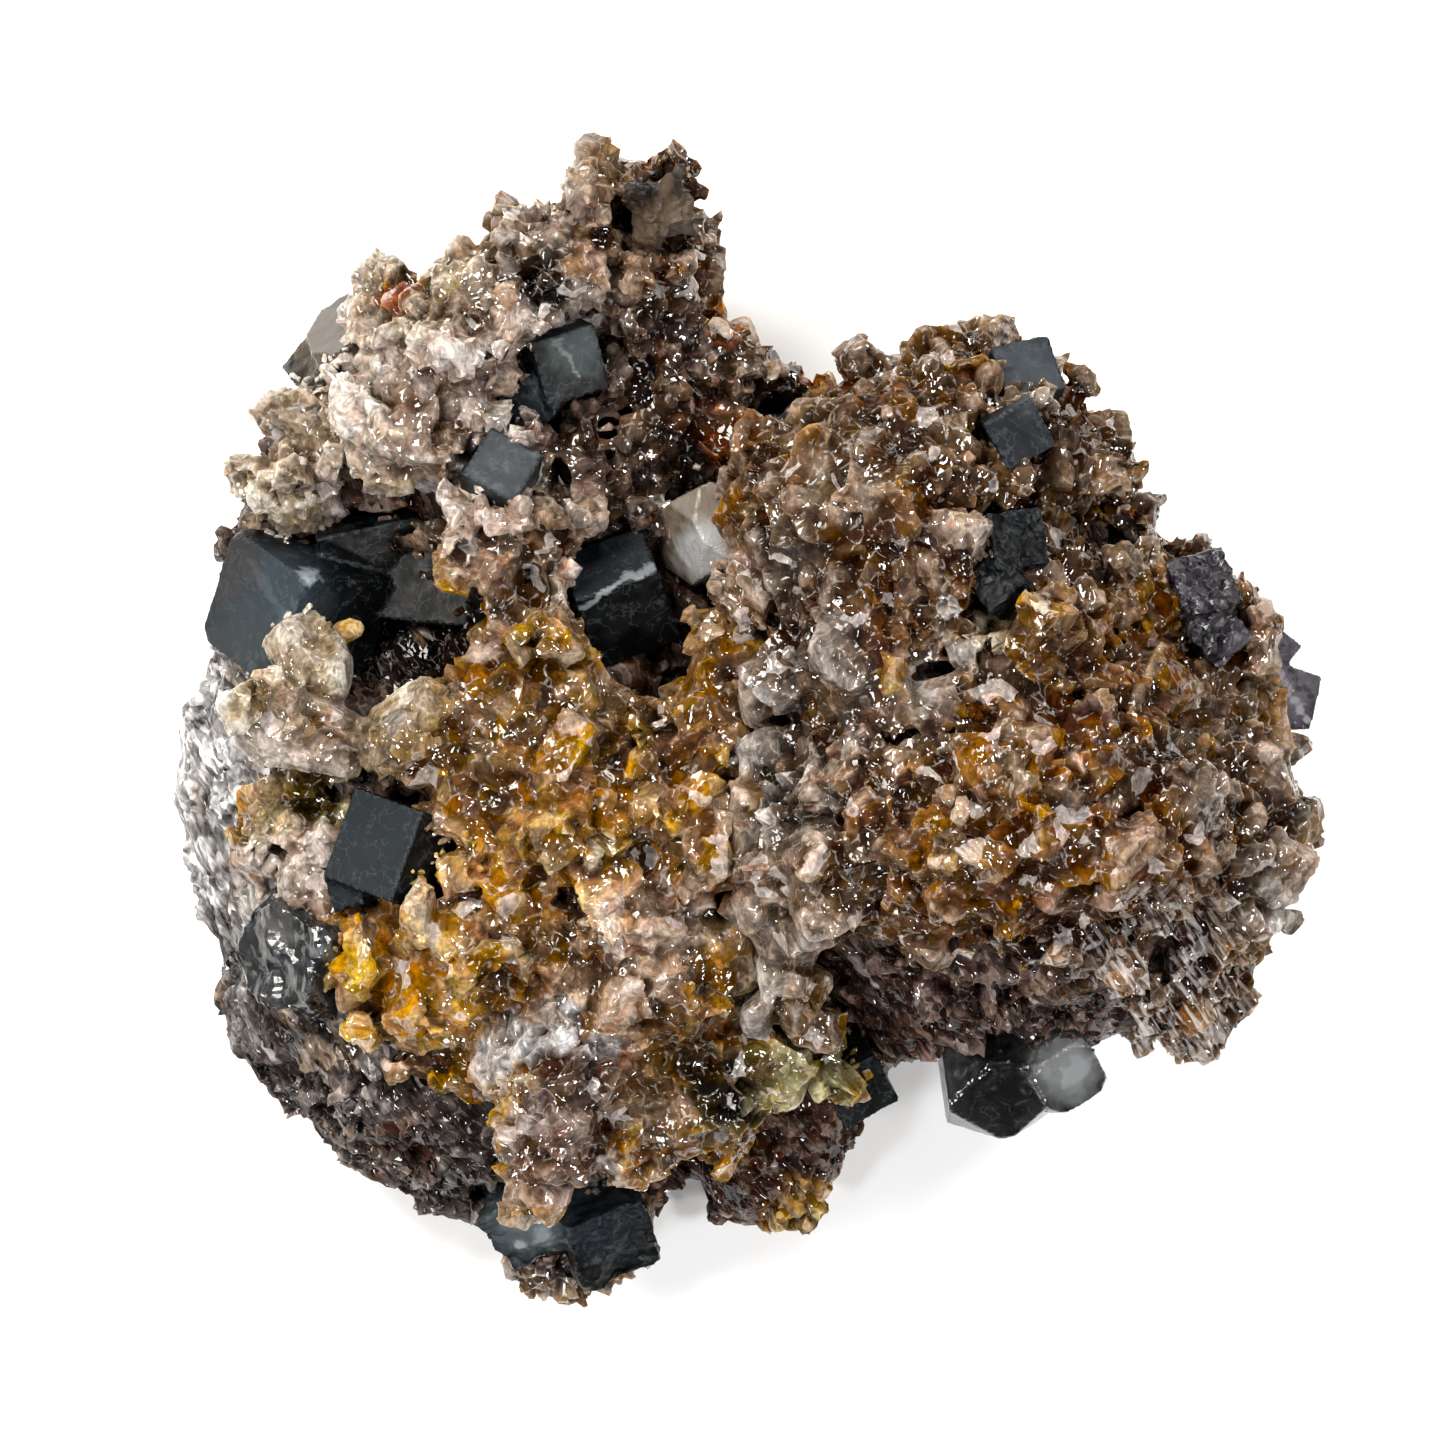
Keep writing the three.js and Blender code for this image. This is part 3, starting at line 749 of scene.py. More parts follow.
# What all crusts have. The fibres and threads are drawn coarser than the real ones, too fine to show.
crustPattern = {
    "bend": (1.5, 1.2, 1.0),  # waves in the splinters' edges: size and reach in mm, and detail
    "turn": 6.0,  # radians; how far the fibres turn from splinter to splinter
    "drawn": (1, 0.16, 0.5),  # squeezes a noise, so that it runs out into fibres
    "clouds": 1.1,  # mm
    "cloudNoise": (0.35, 0.65),
    "cloudShades": (0.6, 1.4),
    "looseShades": (1, 1.4),  # of the small crystals that lie on the crust
    "strengths": (0.75, 1.1),  # of the splinters' colours
    # Painted highlight: a pale colour along the rims of some splinters
    "rimColor": "#f2e9dd",
    "rimWidth": 0.07,  # share of a splinter
    "rimClouds": (0.5, 0.6),  # the paler clouds alone have rims
    "white": "#f6ece6",  # of the flakes and threads
    "whiteLight": 1.6,  # and how much paler than that they are
    "flakes": (0.955, 0.96),  # the few splinters with a higher number are flakes
    "threads": 0.4,  # mm
    "threadsDrawn": (0.12, 1, 0.3),
    "threadNoise": (0.5, 0.64),
    "threadShare": 0.6,
    "threadFade": (0.5, 1),
    "leanPatches": 3.5,  # mm
    "leastLean": 0.3,  # outside those patches, as a share
    "bodyLean": 0.5,  # of the body under the gloss, as a share
    "folds": 1.6,  # mm; the gloss looks half melted
    "foldStrength": 0.3,
    "lines": 0.55,  # mm; growth lines in the gloss
    "wetPatches": 5,  # mm
    "wetNoise": (0.42, 0.55),
    "leastWet": 0.2,  # outside the wet patches, as a share
    "coatRoughness": 0.04,
    "glowColor": (1, 0.65, 0.35),  # red goes deepest, so thin edges glow warm
    "glowDepth": 0.9,  # mm
}


# The splinters of a crust: each has its own numbers, its own way and rim, and fibres drawn out in it
def splinterPattern(tree, coords, look):
    bent = bentBy(tree, coords, *crustPattern["bend"])
    if look["streaks"]:
        along = addNode(tree, "ShaderNodeVectorRotate", bent, named={"Angle": streakTurn})
        bent = addNode(tree, "ShaderNodeVectorMath", along, look["streaks"], operation="MULTIPLY")
    pattern = {"Vector": bent, "Scale": 1 / (look["splinter"] * mm)}
    cells = addNode(tree, "ShaderNodeTexVoronoi", named=pattern, output="Color")
    rims = addNode(
        tree, "ShaderNodeTexVoronoi", named=pattern, feature="DISTANCE_TO_EDGE", output="Distance"
    )
    own = addNode(tree, "ShaderNodeSeparateColor", cells).node.outputs
    way = addNode(tree, "ShaderNodeVectorMath", cells, noiseMiddle, operation="SUBTRACT")
    turn = addNode(tree, "ShaderNodeMath", own[1], crustPattern["turn"], operation="MULTIPLY")
    turned = addNode(tree, "ShaderNodeVectorRotate", bent, named={"Axis": way, "Angle": turn})
    drawn = addNode(tree, "ShaderNodeVectorMath", turned, crustPattern["drawn"], operation="MULTIPLY")
    strands = {"Vector": drawn, "Scale": 1 / (look["fibre"] * mm), "Detail": 2.0}
    fibres = addNode(tree, "ShaderNodeTexNoise", named=strands)
    return {"own": own, "way": way, "rims": rims, "drawn": drawn, "fibres": fibres}


# The painted colour, mottled and fibrous, with each splinter in its own shade and hue. Some rims get a
# painted highlight, some splinters are white flakes, and white threads lie at the look's feathers.
def crustColor(tree, coords, splinters, look):
    size = crustPattern["clouds"]
    waves = {"Vector": coords, "Scale": 1 / (size * mm), "Detail": 4.0, "Distortion": 1.2}
    clouds = addNode(tree, "ShaderNodeTexNoise", named=waves)
    broad = (*crustPattern["cloudNoise"], *crustPattern["cloudShades"])
    broad = addNode(tree, "ShaderNodeMapRange", clouds, *broad)
    fine = addNode(tree, "ShaderNodeMapRange", splinters["fibres"], *fullNoise, *look["fibres"])
    mottle = addNode(tree, "ShaderNodeMath", broad, fine, operation="MULTIPLY")
    loose = addNode(tree, "ShaderNodeAttribute", attribute_name="shade", output="Fac")
    loose = addNode(tree, "ShaderNodeMapRange", loose, 0, 1, *crustPattern["looseShades"])
    shade = addNode(tree, "ShaderNodeMath", mottle, loose, operation="MULTIPLY")
    own = addNode(tree, "ShaderNodeMapRange", splinters["own"][0], 0, 1, *look["shades"])
    shade = addNode(tree, "ShaderNodeMath", shade, own, operation="MULTIPLY")
    tint = addNode(tree, "ShaderNodeAttribute", attribute_name="tint", output="Color")
    tint = addNode(tree, "ShaderNodeVectorMath", tint, named={"Scale": shade}, operation="SCALE")
    hue = addNode(tree, "ShaderNodeMapRange", splinters["own"][2], 0, 1, *look["hue"])
    strength = addNode(tree, "ShaderNodeMapRange", splinters["own"][1], 0, 1, *crustPattern["strengths"])
    inputs = {"Hue": hue, "Saturation": strength, "Color": tint}
    shown = addNode(tree, "ShaderNodeHueSaturation", named=inputs)
    # Painted highlight along the splinters' rims, in the paler clouds
    rim = addNode(tree, "ShaderNodeMapRange", splinters["rims"], 0, crustPattern["rimWidth"], 1, 0)
    some = addNode(tree, "ShaderNodeMapRange", clouds, *crustPattern["rimClouds"], 0, look["rim"])
    rim = addNode(tree, "ShaderNodeMath", rim, some, operation="MULTIPLY")
    mix = {0: rim, 6: shown, 7: stoneColor(crustPattern["rimColor"])}
    shown = addNode(tree, "ShaderNodeMix", named=mix, data_type="RGBA", output=2)
    white = stoneColor(crustPattern["white"], crustPattern["whiteLight"])
    flake = (*crustPattern["flakes"], 0, look["flakes"])
    flake = addNode(tree, "ShaderNodeMapRange", splinters["own"][0], *flake)
    flake = addNode(tree, "ShaderNodeMath", flake, mottle, operation="MULTIPLY")
    shown = addNode(tree, "ShaderNodeMix", named={0: flake, 6: shown, 7: white}, data_type="RGBA", output=2)
    for middle, radius in look["feathers"]:
        turned = addNode(tree, "ShaderNodeVectorRotate", coords, named={"Angle": streakTurn})
        squeeze = crustPattern["threadsDrawn"]
        drawn = addNode(tree, "ShaderNodeVectorMath", turned, squeeze, operation="MULTIPLY")
        waves = {"Vector": drawn, "Scale": 1 / (crustPattern["threads"] * mm), "Detail": 2.0}
        threads = addNode(tree, "ShaderNodeTexNoise", named=waves)
        threads = addNode(tree, "ShaderNodeMapRange", threads, *crustPattern["threadNoise"], 0, 1)
        flat = addNode(tree, "ShaderNodeVectorMath", coords, noHeight, operation="MULTIPLY")
        shares = (crustPattern["threadShare"], 0)
        there = nearPlan(tree, flat, middle, radius, crustPattern["threadFade"], shares)
        share = addNode(tree, "ShaderNodeMath", threads, there, operation="MULTIPLY")
        mix = {0: share, 6: shown, 7: white}
        shown = addNode(tree, "ShaderNodeMix", named=mix, data_type="RGBA", output=2)
    return shown


# The ways that the gloss and the body under it face: splinters lean, and the gloss has folds and lines
def crustNormals(tree, coords, splinters, look):
    waves = {"Vector": coords, "Scale": 1 / (crustPattern["leanPatches"] * mm), "Detail": 1.0}
    patches = addNode(tree, "ShaderNodeTexNoise", named=waves)
    leans = (crustPattern["leastLean"] * look["lean"], look["lean"])
    much = addNode(tree, "ShaderNodeMapRange", patches, *softNoise, *leans)
    surface = addNode(tree, "ShaderNodeNewGeometry").node.outputs
    way = splinters["way"]
    lean = addNode(tree, "ShaderNodeVectorMath", way, named={"Scale": much}, operation="SCALE")
    lean = addNode(tree, "ShaderNodeVectorMath", surface["True Normal"], lean, operation="ADD")
    lean = addNode(tree, "ShaderNodeVectorMath", lean, operation="NORMALIZE")
    folded = {
        "Height": ridges(tree, coords, crustPattern["folds"]),
        "Strength": crustPattern["foldStrength"],
        "Distance": look["fold"] * mm,
        "Normal": lean,
    }
    folded = addNode(tree, "ShaderNodeBump", named=folded)
    waves = {"Vector": splinters["drawn"], "Scale": 1 / (crustPattern["lines"] * mm), "Detail": 1.0}
    lines = addNode(tree, "ShaderNodeTexNoise", named=waves, output="Color")
    lines = addNode(tree, "ShaderNodeVectorMath", lines, noiseMiddle, operation="SUBTRACT")
    lines = addNode(tree, "ShaderNodeVectorMath", lines, named={"Scale": look["lines"]}, operation="SCALE")
    gloss = addNode(tree, "ShaderNodeVectorMath", folded, lines, operation="ADD")
    gloss = addNode(tree, "ShaderNodeVectorMath", gloss, operation="NORMALIZE")
    half = addNode(tree, "ShaderNodeMath", much, crustPattern["bodyLean"], operation="MULTIPLY")
    body = addNode(tree, "ShaderNodeVectorMath", way, named={"Scale": half}, operation="SCALE")
    body = addNode(tree, "ShaderNodeVectorMath", surface["True Normal"], body, operation="ADD")
    body = addNode(tree, "ShaderNodeVectorMath", surface["Normal"], body, operation="ADD")
    return gloss, addNode(tree, "ShaderNodeVectorMath", body, operation="NORMALIZE")


# Quartz crust, grown in place: splinters that each have their own shade, fibres and lean, under a
# wet-looking gloss, over colour with painted shade in the cracks
def crustMaterial(name, look):
    made, tree, shader = newMaterial(name)
    coords = addNode(tree, "ShaderNodeTexCoord", output="Object")
    splinters = splinterPattern(tree, coords, look)
    gloss, body = crustNormals(tree, coords, splinters, look)
    waves = {"Vector": coords, "Scale": 1 / (crustPattern["wetPatches"] * mm), "Detail": 2.0}
    wet = addNode(tree, "ShaderNodeTexNoise", named=waves)
    coats = (crustPattern["leastWet"] * look["coat"], look["coat"])
    wet = addNode(tree, "ShaderNodeMapRange", wet, *crustPattern["wetNoise"], *coats)
    roughness = addNode(tree, "ShaderNodeMapRange", splinters["fibres"], *fullNoise, *look["gloss"])
    tree.links.new(crustColor(tree, coords, splinters, look), shader.inputs["Base Color"])
    tree.links.new(roughness, shader.inputs["Roughness"])
    tree.links.new(body, shader.inputs["Normal"])
    tree.links.new(wet, shader.inputs["Coat Weight"])
    tree.links.new(gloss, shader.inputs["Coat Normal"])
    shader.inputs["IOR"].default_value = quartzIor
    shader.inputs["Specular IOR Level"].default_value = 0.0  # all the gloss is the coat's
    shader.inputs["Coat IOR"].default_value = quartzIor
    shader.inputs["Coat Roughness"].default_value = crustPattern["coatRoughness"]
    shader.inputs["Subsurface Weight"].default_value = look["glow"]
    shader.inputs["Subsurface Radius"].default_value = crustPattern["glowColor"]
    shader.inputs["Subsurface Scale"].default_value = crustPattern["glowDepth"] * mm
    return made


facePattern = {
    "veil": 2.4,  # mm; clouds in the crystal
    "veilNoise": (0.4, 0.7),
    "litWay": (-0.3, 0.35, 0.89),  # the faces that look this way get painted light: they are the paler ones
    "litShare": 0.85,
    "astray": 3,  # mm; how far the spots' edges wander
    "spotFade": (0.6, 1.2),  # shares of a spot's radius
    "scars": 1.3,  # mm; fine pale lines
    "scarBend": (2, 1.5),  # mm; size and reach of the waves in them
    "scarNoise": (0.86, 1.0),
    "scarVeil": (0.4, 0.5),  # they are only where the veil is
    "scarColor": "#aeb6ba",
    "etch": 1.1,  # mm; shallow growth marks
    "etchStrength": 0.5,
}


# Natural crystal faces: smooth growth, dark or clear, showing the depth behind them, with painted light:
# faces that look towards litWay get the paler lit colour.
# Spots are places of the plan: colour, centre, radius and share.
def faceMaterial(look):
    made, tree, shader = newMaterial(look["name"])
    coords = addNode(tree, "ShaderNodeTexCoord", output="Object")
    size = facePattern["veil"]
    waves = {"Vector": coords, "Scale": 1 / (size * mm), "Detail": 5.0, "Distortion": 0.7}
    veil = addNode(tree, "ShaderNodeTexNoise", named=waves).node.outputs
    deep, body, lit = (stoneColor(text) for text in look["colors"])
    share = addNode(tree, "ShaderNodeMapRange", veil[0], *facePattern["veilNoise"], 0, 1)
    shown = addNode(tree, "ShaderNodeMix", named={0: share, 6: deep, 7: body}, data_type="RGBA", output=2)
    # Painted light: the faces that look towards litWay are painted in the paler lit colour
    face = addNode(tree, "ShaderNodeNewGeometry", output="True Normal")
    way = facePattern["litWay"]
    raised = addNode(tree, "ShaderNodeVectorMath", face, way, operation="DOT_PRODUCT", output="Value")
    share = addNode(tree, "ShaderNodeMapRange", raised, *look["turn"], 0, facePattern["litShare"])
    shown = addNode(tree, "ShaderNodeMix", named={0: share, 6: shown, 7: lit}, data_type="RGBA", output=2)
    astray = addNode(tree, "ShaderNodeVectorMath", veil["Color"], noiseMiddle, operation="SUBTRACT")
    reach = {"Scale": facePattern["astray"] * mm}
    astray = addNode(tree, "ShaderNodeVectorMath", astray, named=reach, operation="SCALE")
    astray = addNode(tree, "ShaderNodeVectorMath", coords, astray, operation="ADD")
    flat = addNode(tree, "ShaderNodeVectorMath", astray, noHeight, operation="MULTIPLY")
    for text, middle, radius, share in look["spots"]:
        near = nearPlan(tree, flat, middle, radius, facePattern["spotFade"], (share, 0))
        mix = {0: near, 6: shown, 7: stoneColor(text)}
        shown = addNode(tree, "ShaderNodeMix", named=mix, data_type="RGBA", output=2)
    bent = bentBy(tree, coords, *facePattern["scarBend"])
    scars = ridges(tree, bent, facePattern["scars"])
    scars = addNode(tree, "ShaderNodeMapRange", scars, *facePattern["scarNoise"], 0, look["scars"])
    some = addNode(tree, "ShaderNodeMapRange", veil[0], *facePattern["scarVeil"], 0, 1)
    scars = addNode(tree, "ShaderNodeMath", scars, some, operation="MULTIPLY")
    mix = {0: scars, 6: shown, 7: stoneColor(facePattern["scarColor"])}
    shown = addNode(tree, "ShaderNodeMix", named=mix, data_type="RGBA", output=2)
    waves = {"Vector": coords, "Scale": 1 / (facePattern["etch"] * mm), "Detail": 4.0}
    etch = addNode(tree, "ShaderNodeTexNoise", named=waves)
    strength = facePattern["etchStrength"]
    marks = {"Height": etch, "Strength": strength, "Distance": look["etch"] * mm}
    roughness = addNode(tree, "ShaderNodeMapRange", etch, *fullNoise, *look["gloss"])
    tree.links.new(shown, shader.inputs["Base Color"])
    tree.links.new(roughness, shader.inputs["Roughness"])
    tree.links.new(addNode(tree, "ShaderNodeBump", named=marks), shader.inputs["Normal"])
    shader.inputs["IOR"].default_value = look["ior"]
    shader.inputs["Transmission Weight"].default_value = look["see"]
    shader.inputs["Specular IOR Level"].default_value = look["shine"]
    return made


# A row of small spots along a line of the plan: mostly a painted highlight along an edge or a ridge
def streak(text, start, step, count, radius, share):
    x, y = start
    return [(text, (x + step[0] * i, y + step[1] * i), radius, share) for i in range(count)]


# What each kind of single crystal is like.
# colors: of its depth, its body and its lit faces, and turn: how far a face is lit, from none to all
# scars: their share, etch: the depth of the growth marks in mm, and gloss: its least and most roughness
# see: how much light goes through, and shine: how strong its mirror light is
crystalLooks = {
    "fluorite": {  # smooth, nearly black growth faces that shine a dull blue-grey where they are lit
        "name": "darkFluorite",
        "colors": ("#060708", "#1d2226", "#42494f"),
        # The pale spots and rows are painted highlights on edges and corners; the near-black ones are
        # painted shade in the vug and the pit
        "spots": (
            ("#46555f", (-38.8, 10.2), 5, 0.9),
            *streak("#7f8d94", (-40.6, 13.4), (0.5, -0.7), 9, 0.5, 0.35),
            ("#50585c", (-41.5, 6), 3.5, 0.7),
            ("#4d4647", (-42.5, 13), 3, 0.7),
            ("#d5e6ee", (-35.4, 12.4), 0.8, 0.8),
            *streak("#6e8088", (-35.6, 11.8), (-0.57, -0.82), 10, 0.4, 0.5),
            ("#0b0e10", (-25.6, 11.6), 6, 1),
            ("#33383d", (-12, 14), 3.2, 0.9),
            *streak("#c4cdd1", (-13.4, 9.8), (0.52, 0.32), 12, 0.4, 0.8),
            ("#50565a", (-19.8, 20.4), 3, 0.8),
            ("#5a6866", (-14, 31), 2.6, 0.8),
            *streak("#a3afad", (-15.4, 31.6), (0.3, -0.5), 7, 0.3, 0.6),
            ("#272b30", (21.6, 23.8), 3, 0.9),
            ("#0a0b0c", (20.8, 13.4), 5, 0.8),
            ("#565d66", (22.5, 28), 3, 0.9),
            ("#76848a", (-17.8, -40.5), 3.4, 0.8),
            ("#e3eaec", (-19.2, -39.6), 0.8, 0.8),
            ("#c2ccd0", (-16.8, -42.2), 0.9, 0.7),
            ("#dde4e6", (-18.4, -42.6), 0.5, 0.7),
            ("#2a333c", (-11.8, -41), 3.4, 0.8),
            ("#75624f", (-6.8, 42), 4.5, 1),
            ("#211a17", (-8.4, 43.4), 1.5, 0.9),
            ("#8a7867", (-5.4, 41), 1.4, 0.8),
            ("#2c2420", (-5.2, 44), 1.3, 0.8),
        ),
        "scars": 0.15,
        "etch": 0.05,
        "gloss": (0.28, 0.5),
        "ior": 1.434,
        "see": 0.15,
        "shine": 0.07,
        "turn": (0.72, 0.86),
    },
    "purple_fluorite": {  # rough growth with many small steps, so purple-grey glints
        "name": "purpleFluorite",
        "colors": ("#120d13", "#3a3039", "#453a44"),
        "spots": (
            ("#8d8690", (43, 4), 4.5, 0.9),
            # The pale row is a painted glint along a ridge
            *streak("#e2dde4", (42, 7), (0.4, -0.7), 10, 0.4, 0.7),
            *streak("#453d48", (43.4, 7.4), (0.35, -0.7), 10, 0.4, 0.7),
        ),
        "scars": 0.4,
        "etch": 0.1,
        "gloss": (0.12, 0.4),
        "ior": 1.434,
        "see": 0.2,
        "shine": 0.3,
        "turn": (0.72, 0.86),
    },
    "calcite": {  # frosted cleavage, pale and nearly matt
        "name": "frostedCalcite",
        "colors": ("#8d7c68", "#c4b6a4", "#cdbfae"),
        "spots": (("#ffffff", (-3.4, 14.6), 2.4, 0.9),),
        "scars": 0.6,
        "etch": 0.3,
        "gloss": (0.15, 0.5),
        "ior": 1.6,
        "see": 0.1,
        "shine": 0.3,
        "turn": (0.6, 1),
    },
    "smoky_crystal": {  # clear, smooth growth: grey glass with white lines inside
        "name": "smokyQuartz",
        "colors": ("#16171a", "#6f6c69", "#77797b"),
        "spots": (
            *streak("#d3d8da", (-39.4, -15.6), (0.6, -0.3), 12, 0.4, 0.6),
            *streak("#9fa7aa", (-38.6, -18.6), (0.5, -0.4), 10, 0.35, 0.6),
            ("#a5a29e", (-37.8, -16.6), 1.6, 0.7),
            ("#30363c", (-35.5, -16.5), 1.4, 0.8),
            ("#1c1d20", (-34.4, -20), 1.8, 0.7),
            ("#17191a", (20.8, -28.6), 4.4, 0.9),
            ("#eef2f3", (26.4, -28), 2.8, 1),
            ("#b3a391", (-34.5, 31.5), 5, 0.9),
            ("#2a2420", (-37, 29), 1.6, 0.8),
        ),
        "scars": 0.3,
        "etch": 0.1,
        "gloss": (0.06, 0.25),
        "ior": quartzIor,
        "see": 0.6,
        "shine": 0.5,
        "turn": (0.5, 1.1),
    },
}
crystalMaterials = {slot: faceMaterial(look) for slot, look in crystalLooks.items()}

# What each crust is like. Splinters, fibres and folds are in mm. The rest are shares, and a pair is the
# least and the most.
wetCrust = {
    "streaks": None,  # how far the pattern is squeezed, where it runs out into streaks
    "feathers": (),  # places of the plan with white threads, and their radius
    "splinter": 1.7,
    "shades": (0.75, 1.25),
    "hue": (0.491, 0.511),
    "fibre": 0.22,
    "fibres": (0.65, 1.4),
    "rim": 0.6,
    "flakes": 0.4,
    "lean": 1.0,
    "fold": 0.06,
    "lines": 0.9,
    "gloss": (0.3, 0.5),
    "coat": 1.0,
    "glow": 0.55,
}
smokyCrust = {
    **wetCrust,
    "feathers": (((34, -21.5), 10),),
    "splinter": 1.5,
    "hue": (0.487, 0.508),
}
roughRock = {  # granular and flaky, with few wet spots and no light in it
    **wetCrust,
    "streaks": (0.3, 1.2, 0.6),
    "splinter": 0.7,
    "shades": (0.3, 1.7),
    "fibre": 0.4,
    "fibres": (0.25, 2.1),
    "rim": 0.3,
    "flakes": 0.2,
    "gloss": (0.4, 0.6),
    "coat": 0.55,
    "glow": 0.0,
}
crustMaterials = {
    "crust_left": crustMaterial("honeyQuartzCrust", wetCrust),
    "crust_right": crustMaterial("smokyQuartzCrust", smokyCrust),
    "crust_foot": crustMaterial("paleQuartzCrust", wetCrust),
    "rock": crustMaterial("hostRock", roughRock),
}

